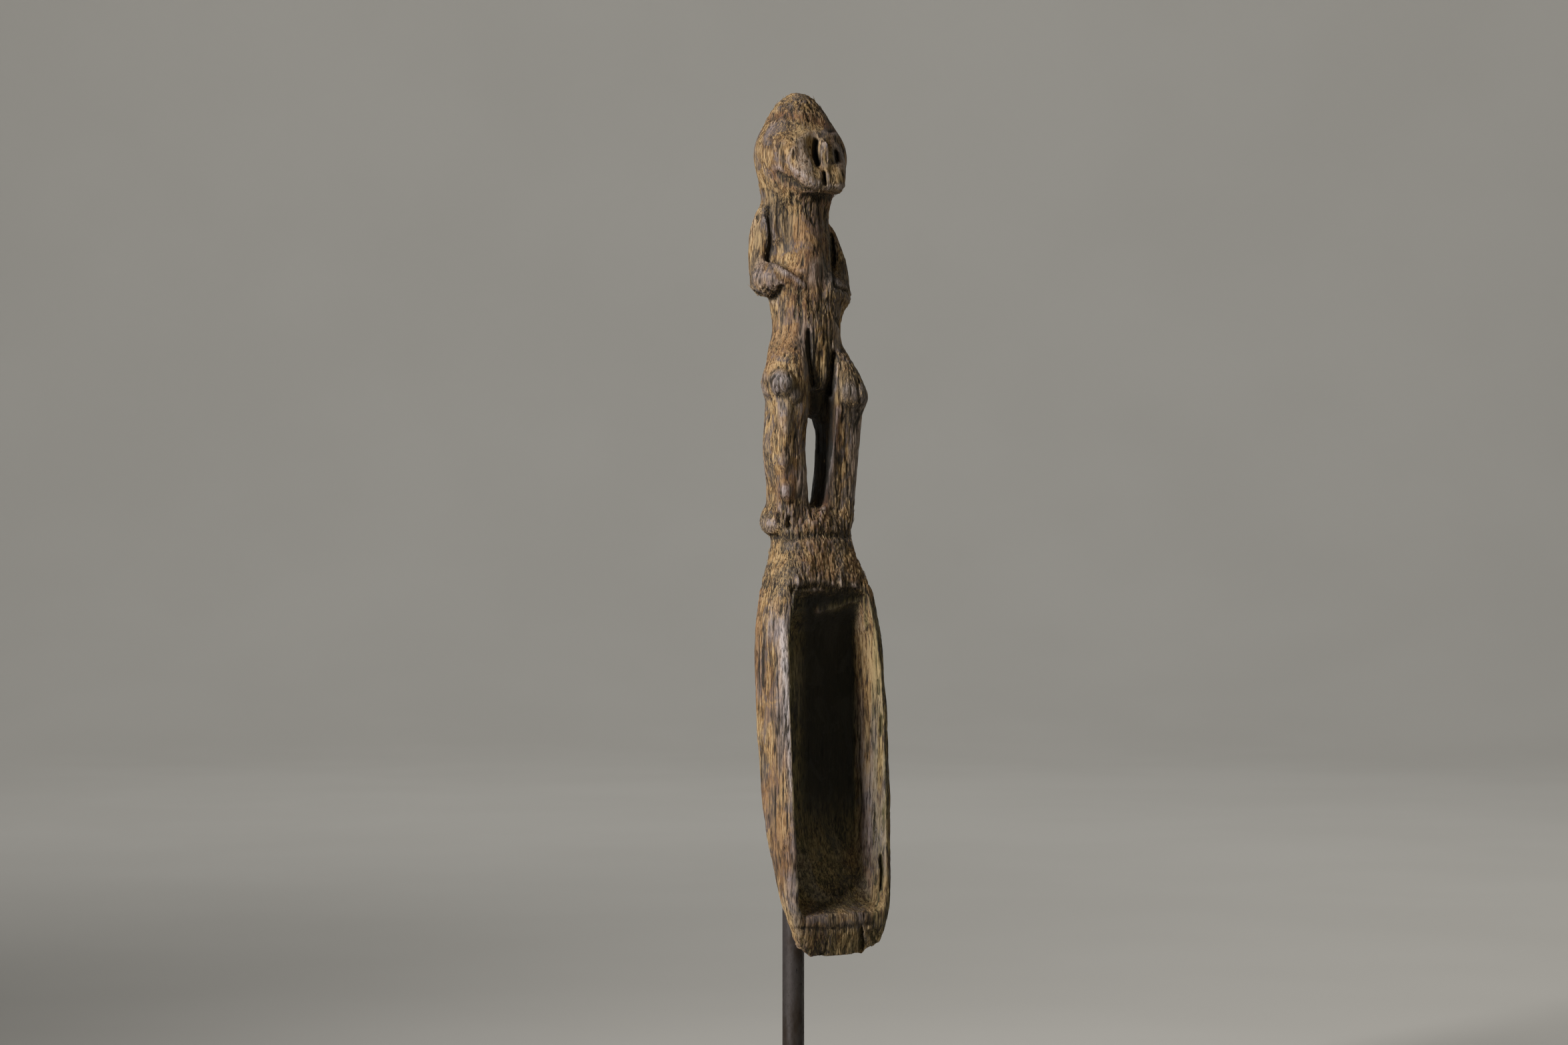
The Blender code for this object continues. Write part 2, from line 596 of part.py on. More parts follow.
def thumb_screw(steel):
    """The ribbed screw that clamps the rod; its origin is on its own axis."""
    start = ROD_DIAMETER / 2.0 + GAP
    neck = SOCKET_DIAMETER / 2.0 + 2.0
    screw = turned("thumb_screw", SCREW_DIAMETER / 2.0, start, neck + 1.0, axis="Y", sides=24, bevel=0.5)
    points = KNOB_RIBS * 4
    rings = []
    for along, inset in ((0.0, 0.8), (0.8, 0.0), (KNOB_LENGTH - 0.8, 0.0), (KNOB_LENGTH, 0.8)):
        ring = []
        for i in range(points):
            turn = 2.0 * math.pi * i / points
            rib = KNOB_RIB_DEPTH if i % 4 >= 2 else 0.0
            radius = KNOB_DIAMETER / 2.0 - inset - rib
            ring.append((radius * math.cos(turn), neck + along, radius * math.sin(turn)))
        rings.append(ring)
    bm = bmesh.new()
    skin(bm, rings)
    combine(screw, finish(bm, "knob"), "UNION")
    screw.location = Vector((0.0, ROD_Y, SOCKET_Z + SCREW_HEIGHT)) * MM
    paint(screw, steel)


def pads(felt):
    """Four felt pads under the corners."""
    place = BASE_SIDE / 2.0 - PAD_INSET
    corners = (("front_left", -1, -1), ("front_right", 1, -1), ("back_left", -1, 1), ("back_right", 1, 1))
    for name, sign_x, sign_y in corners:
        pad = turned("foot_pad_" + name, PAD_RADIUS, 0.0, PAD_THICKNESS, sides=24,
                     centre=(sign_x * place, sign_y * place))
        paint(pad, felt)


def main():
    for old in list(bpy.data.objects):
        bpy.data.objects.remove(old)
    wood = material("carved_wood", (0.23, 0.16, 0.10), 0.85)
    rod_steel = material("rod_steel", (0.10, 0.085, 0.075), 0.45, 0.9)
    fitting_steel = material("fitting_steel", (0.09, 0.085, 0.08), 0.4, 0.9)
    screw_brass = material("screw_brass", (0.45, 0.30, 0.12), 0.4, 0.9)
    painted = material("base_paint", (0.02, 0.02, 0.02), 0.5)
    felt = material("pad_felt", (0.03, 0.03, 0.03), 0.95)
    carving(wood)
    rod(rod_steel)
    saddle(screw_brass)
    base(painted)
    socket(fitting_steel)
    washer_and_nut(fitting_steel)
    thumb_screw(fitting_steel)
    pads(felt)


main()
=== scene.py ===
"""The looks of a carved wooden bowl with a standing figure, on its rod stand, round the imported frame."""
import math

import bmesh
import bpy
import numpy as np
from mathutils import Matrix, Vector


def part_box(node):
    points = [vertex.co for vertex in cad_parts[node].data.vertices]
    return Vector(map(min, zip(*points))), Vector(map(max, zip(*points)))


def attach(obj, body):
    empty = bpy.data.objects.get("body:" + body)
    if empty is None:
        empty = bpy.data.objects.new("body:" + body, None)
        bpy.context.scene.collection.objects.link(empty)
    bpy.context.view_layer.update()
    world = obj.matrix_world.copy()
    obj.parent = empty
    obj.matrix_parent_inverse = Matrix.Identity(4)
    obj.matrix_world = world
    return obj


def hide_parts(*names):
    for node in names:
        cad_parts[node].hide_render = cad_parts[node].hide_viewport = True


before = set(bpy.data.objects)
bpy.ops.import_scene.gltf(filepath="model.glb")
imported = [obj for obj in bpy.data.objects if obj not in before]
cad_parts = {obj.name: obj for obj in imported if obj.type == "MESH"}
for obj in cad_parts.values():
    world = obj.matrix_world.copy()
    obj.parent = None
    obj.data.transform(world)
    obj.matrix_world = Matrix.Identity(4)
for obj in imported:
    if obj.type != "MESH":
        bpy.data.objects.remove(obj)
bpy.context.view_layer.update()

MM = 0.001
VIEW_TURN = math.radians(-33.0)  # the main view is 33 degrees round from the front of the bowl
ACROSS = np.array([math.cos(VIEW_TURN), math.sin(VIEW_TURN), 0.0])
AWAY = np.array([-math.sin(VIEW_TURN), math.cos(VIEW_TURN), 0.0])

# The carving's own frame: x = y = 0 on its neck axis, z = 0 at the tip of the bowl, in millimetres.
ROD_TO_NECK = (-2.4, -18.6)
VOXEL = 0.34
GRAIN_STRETCH = 3.4  # cells are this much longer along the grain

# Heights in that frame.
LIP_TOP = 12.0
TROUGH_TOP = 161.0
CROWN_BRIM = 376.0
BROKEN_BANDS = ((333.0, 347.0), (286.0, 300.0), (186.0, 203.0), (160.0, 184.0), (0.0, LIP_TOP))

# The camera, in millimetres: how far left of the neck axis it stands, how far off and how high.
STAND_LEFT = 12.37
STAND_OFF = 1674.8
EYE_HEIGHT = 193.5
LENS = 85.0
SENSOR = 36.0

# The lights: powers in watts, the strength of the air, and the height in metres they are set from.
KEY_POWER = 2.9
FILL_POWER = 2.6
SIDE_POWER = 1.6
BACKDROP_POWER = 38.0
AIR = 0.04
LIGHT_MIDDLE = 0.29

# The studio floor, in metres.
FLOOR_RADIUS = 2.9
COVE_RADIUS = 1.1
WALL_HEIGHT = 3.4

# The loose fibres, in millimetres.
FIBRE_COUNT = 1100
FIBRE_LENGTHS = (1.5, 3.8)
FIBRE_WIDTHS = (0.10, 0.24)
FIBRE_LEANS = (0.02, 0.18)
HANGING_SHARE = 0.3


def carving_origin():
    """The neck axis at the height of the bowl's tip, in metres, from the CAD boxes."""
    rod_low, rod_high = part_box("stand_rod")
    wood_low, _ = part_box("carved_bowl")
    middle = (rod_low + rod_high) / 2.0
    return np.array([middle.x + ROD_TO_NECK[0] * MM, middle.y + ROD_TO_NECK[1] * MM, wood_low.z])


ORIGIN = carving_origin()
TOP = (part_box("carved_bowl")[1].z - ORIGIN[2]) / MM


# ---- noise ---------------------------------------------------------------------------------------

def smooth_step(value, low, high):
    """0 below low, 1 above high and a smooth rise between."""
    t = np.clip((value - low) / (high - low), 0.0, 1.0)
    return t * t * (3.0 - 2.0 * t)


def hashed(cell, seed):
    """A repeatable number from -1 to 1 for each whole-number cell."""
    n = cell[:, 0] * 374761393 + cell[:, 1] * 668265263 + cell[:, 2] * 362437 + seed * 1274126177
    n = n & 0xFFFFFFFF
    n = ((n ^ (n >> 13)) * 1274126177) & 0xFFFFFFFF
    n = n ^ (n >> 16)
    return n / 2147483647.5 - 1.0


def noise(points, seed):
    """Smooth noise from -1 to 1 with a period of one unit."""
    cell = np.floor(points).astype(np.int64)
    part = points - cell
    fade = part * part * part * (part * (part * 6.0 - 15.0) + 10.0)
    total = np.zeros(len(points))
    for dx in (0, 1):
        for dy in (0, 1):
            for dz in (0, 1):
                step = np.array([dx, dy, dz])
                weight = np.prod(np.where(step == 1, fade, 1.0 - fade), axis=1)
                total += weight * hashed(cell + step, seed)
    return total


def grain(points, across, along, seed, warp=0.0):
    """Noise drawn out along the wood: its periods across and along the grain are in millimetres."""
    place = points.copy()
    if warp > 0.0:
        bend = points / np.array([30.0, 30.0, 22.0])
        place[:, 0] += warp * noise(bend, seed + 71)
        place[:, 1] += warp * noise(bend, seed + 72)
    return noise(place / np.array([across, across, along]) + 0.37 * seed, seed)


# ---- mesh helpers --------------------------------------------------------------------------------

def read_points(mesh):
    flat = np.zeros(len(mesh.vertices) * 3)
    mesh.vertices.foreach_get("co", flat)
    return flat.reshape(-1, 3)


def write_points(mesh, points):
    mesh.vertices.foreach_set("co", points.ravel().astype(np.float32))
    mesh.update()


def read_normals(mesh):
    flat = np.zeros(len(mesh.vertices) * 3, np.float32)
    mesh.vertex_normals.foreach_get("vector", flat)
    return flat.reshape(-1, 3).astype(float)


def write_attribute(mesh, name, values):
    attribute = mesh.attributes.new(name, "FLOAT", "POINT")
    attribute.data.foreach_set("value", np.clip(values, 0.0, 1.0).astype(np.float32))


class Links:
    """The neighbours of each vertex, for smoothing."""

    def __init__(self, a, b, count):
        self.a = a
        self.b = b
        self.count = count
        degree = np.bincount(a, minlength=count) + np.bincount(b, minlength=count)
        self.degree = np.maximum(degree, 1)

    def among(self, chosen):
        """The links between some of the vertices only."""
        number = np.full(self.count, -1)
        number[chosen] = np.arange(len(chosen))
        a = number[self.a]
        b = number[self.b]
        kept = (a >= 0) & (b >= 0)
        return Links(a[kept], b[kept], len(chosen))

    def mean(self, values):
        """The mean of each vertex's neighbours."""
        onto_a = np.bincount(self.a, values[self.b], self.count)
        onto_b = np.bincount(self.b, values[self.a], self.count)
        return (onto_a + onto_b) / self.degree

    def relax(self, values, rounds, share=0.6):
        """Smooths a value or points over the surface."""
        if values.ndim == 2:
            columns = [self.relax(column, rounds, share) for column in values.T]
            return np.stack(columns, axis=1)
        for _ in range(rounds):
            values = values + share * (self.mean(values) - values)
        return values


def path_distance(u, z, path):
    """How far each (u, z) is from a line through the path's points."""
    best = np.full(len(u), 1e9)
    for (u0, z0), (u1, z1) in zip(path, path[1:]):
        du = u1 - u0
        dz = z1 - z0
        t = np.clip(((u - u0) * du + (z - z0) * dz) / (du * du + dz * dz), 0.0, 1.0)
        best = np.minimum(best, np.hypot(u - u0 - t * du, z - z0 - t * dz))
    return best


def link(name, mesh):
    made = bpy.data.objects.new(name, mesh)
    bpy.context.scene.collection.objects.link(made)
    return made


# ---- the carving's shape -------------------------------------------------------------------------

def fine_copy(node):
    """A copy of the CAD carving on a fine, even mesh, in millimetres in the carving's own frame."""
    mesh = node.data.copy()
    mesh.name = "carved_wood_bowl"
    bm = bmesh.new()
    bm.from_mesh(mesh)
    bmesh.ops.remove_doubles(bm, verts=bm.verts, dist=1e-6)
    bm.to_mesh(mesh)
    bm.free()
    points = (read_points(mesh) - ORIGIN) / MM
    points[:, 2] /= GRAIN_STRETCH
    write_points(mesh, points)
    made = link("carved_wood_bowl", mesh)
    remesh = made.modifiers.new("remesh", "REMESH")
    remesh.mode = "VOXEL"
    remesh.voxel_size = VOXEL
    bpy.context.view_layer.update()
    graph = bpy.context.evaluated_depsgraph_get()
    fine = bpy.data.meshes.new_from_object(made.evaluated_get(graph))
    made.modifiers.clear()
    made.data = fine
    points = read_points(fine)
    points[:, 2] *= GRAIN_STRETCH
    write_points(fine, points)
    return made


class Sculptor:
    """Cuts and lumps drawn on the side of the carving that faces front-left.

    A place is (u, z) in millimetres: u is across the view from the neck axis and z is up from the tip.
    """

    def __init__(self, mesh):
        self.mesh = mesh
        ends = np.zeros(len(mesh.edges) * 2, np.int32)
        mesh.edges.foreach_get("vertices", ends)
        self.links = Links(ends[0::2], ends[1::2], len(mesh.vertices))
        self.points = read_points(mesh)
        self.cut = np.zeros(len(self.points))
        self.refresh()

    def refresh(self):
        write_points(self.mesh, self.points)
        self.normals = read_normals(self.mesh)
        self.u = self.points @ ACROSS
        self.w = self.points @ AWAY
        self.z = self.points[:, 2]
        self.facing = smooth_step(-(self.normals @ AWAY), 0.02, 0.3)

    def move(self, amount, straight=False):
        """Moves vertices out along their normals, or straight towards the viewer."""
        direction = -AWAY if straight else self.normals
        self.points = self.points + direction * (amount * self.facing)[:, None]

    def nearer(self, farthest):
        """1 on surfaces nearer to the viewer than this depth, fading to 0 at it."""
        return 1.0 - smooth_step(self.w, farthest - 3.0, farthest)

    def line(self, path, width, height, straight=False, farthest=99.0):
        """A ridge along a path, or a groove where its height is negative; deep grooves get painted shade.
        """
        distance = path_distance(self.u, self.z, path)
        share = np.exp(-(distance / width) ** 2) * self.nearer(farthest)
        if height < -0.95:
            self.cut = np.maximum(self.cut, share * self.facing * min(1.0, -0.45 * height))
        self.move(height * share, straight)

    def darken(self, path, width, amount):
        """Painted shade in and round a slit."""
        share = np.exp(-(path_distance(self.u, self.z, path) / width) ** 2)
        self.cut = np.maximum(self.cut, amount * share)

    def swell(self, x, y, z, reach, height):
        """Swells the surface round a point of the carving, or shrinks it where height is negative."""
        distance = np.linalg.norm(self.points - np.array([x, y, z]), axis=1) / reach
        amount = height * (1.0 - smooth_step(distance, 0.1, 1.0))
        self.points = self.points + self.normals * amount[:, None]

    def melt(self, u, z, reach_u, reach_z, rounds):
        """Smooths one region until it flows into its surroundings."""
        radius = np.hypot((self.u - u) / reach_u, (self.z - z) / reach_z)
        chosen = np.flatnonzero(radius < 1.8)
        radius = radius[chosen]
        share = ((1.0 - smooth_step(radius, 0.4, 1.0)) * self.facing[chosen])[:, None]
        free = 0.6 * (radius < 1.6)  # the edge of the region is held still
        before = self.points[chosen]
        melted = self.links.among(chosen).relax(before, rounds, free)
        self.points = self.points.copy()
        self.points[chosen] = before * (1.0 - share) + melted * share

    def lump(self, u, z, reach_u, reach_z, height, farthest=99.0):
        """A round lump, or a hollow where its height is negative."""
        radius = np.hypot((self.u - u) / reach_u, (self.z - z) / reach_z)
        self.move(height * (1.0 - smooth_step(radius, 0.2, 1.0)) * self.nearer(farthest))


def soften(sculptor):
    """Melts the joins between forms, most in the figure and least at the rim of the bowl."""
    links = sculptor.links
    points = sculptor.points
    light = links.relax(points, 6)
    strong = links.relax(light, 44)
    z = points[:, 2]
    shins = smooth_step(z, 196.0, 204.0) - smooth_step(z, 250.0, 262.0)
    melt = (smooth_step(z, 172.0, 192.0) * (1.0 - 0.2 * shins))[:, None]
    sculptor.points = light * (1.0 - melt) + strong * melt
    sculptor.refresh()


# Paths as (u, z), each along a feature that is also coloured.
JAW = [(-15.4, 350.5), (-9.7, 347.3), (-3.9, 343.6), (2.0, 341.0), (9.0, 340.2)]
BRIM = [(-19.6, 377.0), (-12.7, 378.0), (-4.8, 376.7), (3.9, 375.2), (9.7, 371.0)]
RIGHT_SHIN = [(11.8, 244.5), (11.0, 233.0), (9.0, 217.6), (5.2, 198.0)]
LEDGE = [(3.3, 154.0), (10.0, 155.2), (17.0, 157.6), (22.6, 158.6), (24.0, 151.0), (24.4, 145.0)]


def sculpt_head(s):
    """Brim of the crown, brow, cheek, nose, eye slots, mouth and jaw."""
    s.melt(2.8, 359.0, 8.0, 15.0, 260)
    s.refresh()
    s.melt(2.8, 359.0, 6.0, 13.0, 120)
    s.refresh()
    s.line(BRIM, 1.6, -0.4)
    s.line([(-19.0, 379.6), (-12.0, 380.8), (-4.0, 379.2), (4.6, 377.8), (9.6, 374.4)], 2.0, 0.3)
    s.line([(9.7, 371.6), (8.0, 370.8)], 1.0, -1.0)
    s.line([(-8.1, 361.0), (-9.9, 356.9), (-9.2, 353.2), (-6.0, 350.4)], 1.5, 0.9)
    s.lump(-4.4, 356.4, 3.0, 4.6, -0.5)
    s.line([(-12.8, 361.5), (-13.4, 356.0), (-11.8, 351.0)], 1.6, -0.7)
    s.line([(-7.6, 364.0), (-2.0, 368.6), (4.0, 370.0), (10.0, 369.0)], 2.2, 0.8)
    s.line([(-5.6, 350.4), (0.9, 346.6), (7.7, 344.6), (14.8, 345.2)], 1.6, 0.7)
    s.refresh()
    s.line([(1.9, 365.2), (1.5, 361.8), (2.0, 358.2), (2.9, 355.4)], 1.1, -4.0, straight=True)
    s.line([(5.0, 366.0), (4.9, 360.6), (4.6, 354.6)], 0.8, 1.3)
    s.line([(7.3, 365.4), (7.5, 360.6), (7.1, 356.0)], 1.0, -0.6)
    s.line([(-1.4, 365.0), (-2.2, 361.0), (-1.4, 356.4)], 1.5, -0.3)
    s.line([(11.0, 361.0), (11.3, 356.4)], 0.8, -1.8, straight=True)
    s.line([(5.7, 351.0), (6.1, 346.0)], 0.75, -3.0, straight=True)
    s.line([(4.2, 353.2), (8.8, 352.0)], 1.0, -0.9)
    s.line(JAW, 1.5, -1.3)
    s.refresh()


def sculpt_torso(s):
    """Arms held to the body, the near hand, the panel beside the far arm and the slots of the groin."""
    s.melt(-5.0, 301.0, 9.0, 9.0, 160)
    s.melt(-12.0, 280.0, 10.0, 12.0, 120)
    s.melt(13.0, 302.0, 9.0, 9.0, 160)
    s.melt(-0.6, 268.0, 3.6, 15.0, 70)
    s.melt(-15.5, 331.0, 4.5, 11.0, 120)
    s.refresh()
    s.line([(-19.6, 336.5), (-18.7, 326.8), (-18.2, 318.1), (-19.0, 312.8)], 0.95, -2.2)
    s.line([(-20.9, 327.4), (-20.6, 314.8)], 1.5, -0.4)
    s.line([(-19.6, 313.6), (-11.5, 308.8), (-1.8, 303.0)], 1.3, -0.9)
    s.line([(-18.0, 309.8), (-11.0, 305.4), (-4.0, 300.4)], 2.2, 0.7)
    s.line([(-25.5, 296.8), (-20.7, 294.4), (-16.6, 295.2), (-13.6, 299.3)], 1.0, -2.0)
    s.lump(-20.5, 302.4, 6.5, 7.0, 0.9)
    s.lump(-8.0, 318.0, 8.0, 16.0, -0.5)
    s.line([(9.3, 324.6), (9.7, 318.4), (10.0, 312.8)], 0.8, -3.6, straight=True)
    s.line([(10.2, 312.0), (10.6, 300.9), (12.5, 299.8), (16.3, 298.8)], 0.8, -1.3)
    s.line([(11.4, 285.4), (13.8, 282.3)], 0.9, -1.6)
    s.line([(-1.5, 279.4), (-1.1, 270.1), (-0.9, 265.3), (0.5, 256.0)], 0.8, -2.6, straight=True)
    s.line([(9.7, 269.6), (9.2, 261.4), (7.8, 252.6)], 1.3, -4.6, straight=True)
    # Painted shade over the groin slots, whose walls the key light would catch.
    s.darken([(0.2, 277.4), (0.4, 270.1), (0.6, 265.3), (1.6, 256.0)], 1.3, 1.2)
    s.darken([(9.7, 268.6), (9.2, 261.4), (7.8, 252.6)], 1.7, 1.1)
    s.lump(3.6, 262.0, 5.0, 16.0, -0.7)
    s.refresh()


def sculpt_legs(s):
    """Knees, shins, the rounded top of the gap between them, ankles, feet and plinth."""
    s.melt(19.0, 228.0, 7.0, 24.0, 110)
    s.melt(-10.0, 228.0, 10.0, 30.0, 240)
    s.refresh()
    s.swell(-24.0, 3.0, 256.5, 10.0, 1.6)
    s.swell(-22.0, 0.0, 243.5, 8.0, -0.8)
    s.swell(-23.0, 0.0, 227.0, 11.0, 0.5)
    s.swell(-20.0, 0.0, 203.5, 7.0, -0.7)
    s.swell(-22.0, 4.0, 192.0, 9.0, 2.0)
    s.swell(24.5, -8.0, 248.5, 8.0, 1.4)
    s.swell(22.0, -3.0, 238.0, 6.0, -0.8)
    s.swell(6.6, 9.0, 243.0, 10.0, 2.8)
    s.swell(4.5, 0.0, 243.5, 8.0, 2.4)
    s.swell(-6.0, -10.0, 243.0, 8.0, 0.8)
    s.lump(-13.4, 256.4, 6.4, 7.0, 1.9)
    s.lump(-11.0, 236.0, 4.0, 6.0, 0.6)
    s.lump(-12.6, 222.0, 4.4, 7.0, 0.7)
    s.line([(-19.4, 256.0), (-17.4, 250.6), (-13.2, 248.6), (-9.4, 250.6)], 1.2, -0.6)
    s.lump(-7.4, 251.2, 3.4, 4.0, 0.8)
    s.line([(-10.0, 248.6), (-7.2, 246.4), (-4.6, 248.4)], 0.9, -0.8)
    s.lump(17.2, 252.6, 5.2, 7.2, 1.3)
    s.line([(12.4, 252.4), (13.6, 247.0), (18.0, 244.6)], 1.0, -0.8)
    s.line([(20.8, 256.0), (22.0, 249.0), (21.0, 244.0)], 0.8, -0.8)
    s.line([(-11.3, 246.9), (-12.1, 225.3), (-12.8, 205.3)], 2.2, 0.4, farthest=2.0)
    s.lump(-11.6, 208.0, 3.8, 5.0, 1.1, farthest=3.0)
    s.line([(-14.6, 203.0), (-11.5, 201.2), (-8.0, 202.6)], 1.0, -0.9, farthest=2.0)
    s.line(RIGHT_SHIN, 1.2, 1.0, farthest=4.0)
    s.refresh()
    s.line([(-10.4, 194.6), (-10.2, 192.0)], 0.9, -3.4, straight=True)
    s.line([(-15.0, 197.4), (-14.6, 193.8)], 0.9, -1.6)
    s.line([(-21.7, 187.6), (-11.2, 186.4), (3.9, 188.4), (17.5, 187.4)], 1.5, -1.0)
    s.lump(-17.6, 191.8, 4.6, 5.6, 0.7)
    s.line([(-2.6, 199.4), (-1.0, 193.0), (3.6, 193.4), (4.6, 198.8)], 1.0, 0.6)
    s.refresh()


def sculpt_bowl(s):
    """The broken ledge at the top of the trough, splits in the lip and cracks along the far rim."""
    s.line(LEDGE, 1.3, 0.9)
    s.line([(-8.1, 163.6), (2.0, 165.4), (10.0, 163.2), (19.0, 163.0)], 1.4, -1.5)
    for u, height in ((-6.4, 1.2), (12.8, 1.3)):
        s.line([(u, 169.4), (u + 0.2, 163.4)], 0.55, height)
    s.line([(22.3, 11.6), (22.5, 6.0), (22.3, -0.5)], 0.6, -3.4, straight=True)
    s.line([(26.3, 9.6), (27.6, 6.6), (28.8, 3.4)], 0.8, -1.9, straight=True)
    s.line([(28.6, 10.6), (30.2, 7.2)], 0.6, -1.2, straight=True)
    s.line([(31.2, 42.6), (31.7, 35.5), (31.2, 28.4)], 0.7, -3.0, straight=True)
    s.line([(31.6, 105.7), (31.4, 98.0)], 0.6, -1.8, straight=True)
    s.line([(30.2, 122.0), (30.6, 116.0)], 0.6, -1.4, straight=True)
    s.line([(-12.4, 48.9), (-9.2, 48.5)], 0.8, -0.9)
    s.line([(-5.6, 13.6), (8.0, 12.4), (20.0, 13.0), (28.0, 13.6)], 0.7, -1.0)
    s.refresh()


def roughness_field(points):
    """How coarse and broken the surface is: most on the crown, neck, belly, plinth and shoulder."""
    z = points[:, 2]
    coarse = 0.7 * smooth_step(z, 372.0, 384.0)
    for low, high in BROKEN_BANDS:
        middle = (low + high) / 2.0
        half = (high - low) / 2.0
        coarse = np.maximum(coarse, 1.0 - smooth_step(np.abs(z - middle), half * 0.6, half * 1.5))
    patches = smooth_step(noise(points / np.array([11.0, 11.0, 19.0]), 5), 0.05, 0.5)
    return np.clip(0.25 + 0.75 * coarse + 0.45 * patches * (z > 150.0), 0.0, 1.0)


def weather(s):
    """Adze facets, drawn-out grain and broken fibres; returns the depth of the grooves from 0 to 1."""
    points = s.points
    normals = s.normals
    z = points[:, 2]
    coarse = roughness_field(points)
    inner = trough_share(points, normals)
    shins = smooth_step(z, 196.0, 206.0) * (1.0 - smooth_step(z, 240.0, 250.0))
    facets = (0.42 + 0.5 * shins) * noise(points / np.array([11.0, 11.0, 21.0]), 11)
    facets += (0.26 + 0.2 * shins) * noise(points / np.array([5.5, 5.5, 12.0]), 12)
    broad = grain(points, 2.8, 26.0, 21, warp=1.6)
    threads = grain(points, 0.9, 8.0, 23, warp=0.8)
    split = 1.0 - smooth_step(np.abs(grain(points, 1.9, 30.0, 22, warp=1.2)), 0.02, 0.2)
    split *= smooth_step(noise(points / np.array([6.0, 6.0, 24.0]), 27), -0.4, 0.5)
    fine = 1.0 - smooth_step(np.abs(grain(points, 1.05, 15.0, 28, warp=0.9)), 0.02, 0.34)
    broken = 1.0 - smooth_step(np.abs(grain(points, 1.3, 4.4, 24, warp=0.8)), 0.03, 0.34)
    cracks = smooth_step(grain(points, 1.5, 34.0, 25, warp=1.0), 0.66, 0.86)
    head = smooth_step(z, 338.0, 348.0) * (1.0 - smooth_step(z, 368.0, 380.0))
    calm = 1.0 - 0.5 * head
    coarse = coarse * calm
    strength = (0.6 + 0.4 * coarse) * (1.0 - 0.5 * inner) * calm
    ledge = (1.0 - smooth_step(np.abs(z - TROUGH_TOP), 2.0, 7.0)) * (points[:, 1] < -12.0)
    ledge *= 1.0 - smooth_step(np.abs(points[:, 0]), 18.0, 24.0)
    step = coarse * smooth_step(grain(points, 2.0, 5.0, 26, warp=0.8), -0.05, 0.2)
    height = facets * (1.0 - 0.6 * inner)
    height += 0.12 * broad
    height += strength * (0.14 * threads - 0.26 * split - 0.26 * fine)
    height -= 0.30 * coarse * broken
    torn = 0.45 * grain(points, 2.2, 9.0, 31, warp=0.8) + 0.3 * grain(points, 1.1, 5.0, 32, warp=0.5)
    height += ledge * torn
    height -= 0.5 * cracks
    height += 0.26 * step
    mossy = inner * smooth_step(-normals[:, 1], 0.2, 0.6) * (1.0 - smooth_step(z, 40.0, 75.0))
    height += mossy * (0.35 * noise(points / 3.4, 33) + 0.15 * noise(points / 1.6, 34))
    s.points = points + normals * height[:, None]
    depth = 0.4 * split + 0.42 * fine + 0.34 * coarse * broken + 0.6 * cracks
    depth = depth - 0.16 * threads - 0.12 * step
    return np.clip(depth, 0.0, 1.0)


def trough_share(points, normals):
    """1 inside the hollow of the bowl and 0 outside it."""
    x = points[:, 0]
    y = points[:, 1]
    z = points[:, 2]
    within = smooth_step(z, 17.0, 24.0) * (1.0 - smooth_step(z, 160.0, 165.0))
    walls = (np.abs(x) < 26.2) & (y < 2.0)
    inward = (normals[:, 0] * np.sign(x) < 0.2) & (y > -40.0)
    return within * walls * inward


def clamp_to_box(points):
    """Keeps the weathered surface inside the CAD box of the carving."""
    low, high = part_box("carved_bowl")
    least = (np.array(low) - ORIGIN) / MM
    most = (np.array(high) - ORIGIN) / MM
    return np.clip(points, least, most)


class Zones:
    """How far each vertex belongs to each part of the bowl that gets painted shadow, painted shade,
    painted highlight, paler painted light or fewer stains.
    """

    def __init__(self, s, inner):
        x = s.points[:, 0]
        z = s.z
        self.inner = inner
        self.front = smooth_step(-s.normals[:, 1], 0.2, 0.7)
        self.left_wall = inner * smooth_step(s.normals[:, 0], 0.1, 0.6)
        self.right_wall = inner * smooth_step(-s.normals[:, 0], 0.3, 0.8)
        ledge = np.exp(-(path_distance(s.u, z, LEDGE) / 1.7) ** 2)
        self.splinters = ledge * (s.points[:, 1] < -3.0)
        foot = inner * smooth_step(s.normals[:, 2] - s.normals[:, 1], 0.3, 0.8)
        self.foot = foot * (smooth_step(z, 15.0, 18.0) * (1.0 - smooth_step(z, 36.0, 70.0)))
        self.lip = self.front * (1.0 - smooth_step(z, 9.0, 13.0)) * smooth_step(s.u, -9.0, -5.0)
        self.far_side = smooth_step(s.u, 26.0, 28.5)
        # Patches that break up the painted highlights on the left rim and the trough's right wall.
        self.highlight_breakup = smooth_step(noise(s.points / np.array([4.0, 4.0, 30.0]), 44), -0.5, 0.3)
        # Painted highlight along the left rim, on its lit side only.
        inner_edge = 22.4 + 2.8 * smooth_step(z, 20.0, 115.0)
        rim = np.exp(-((np.abs(x) - inner_edge - 1.2) / 1.6) ** 2)
        rim *= self.front * smooth_step(z, LIP_TOP, 30.0) * (1.0 - smooth_step(z, 140.0, 158.0))
        rim *= 1.0 - inner
        self.rim = rim * (smooth_step(-x, -1.0, 1.0) * (0.5 + 0.5 * self.highlight_breakup))


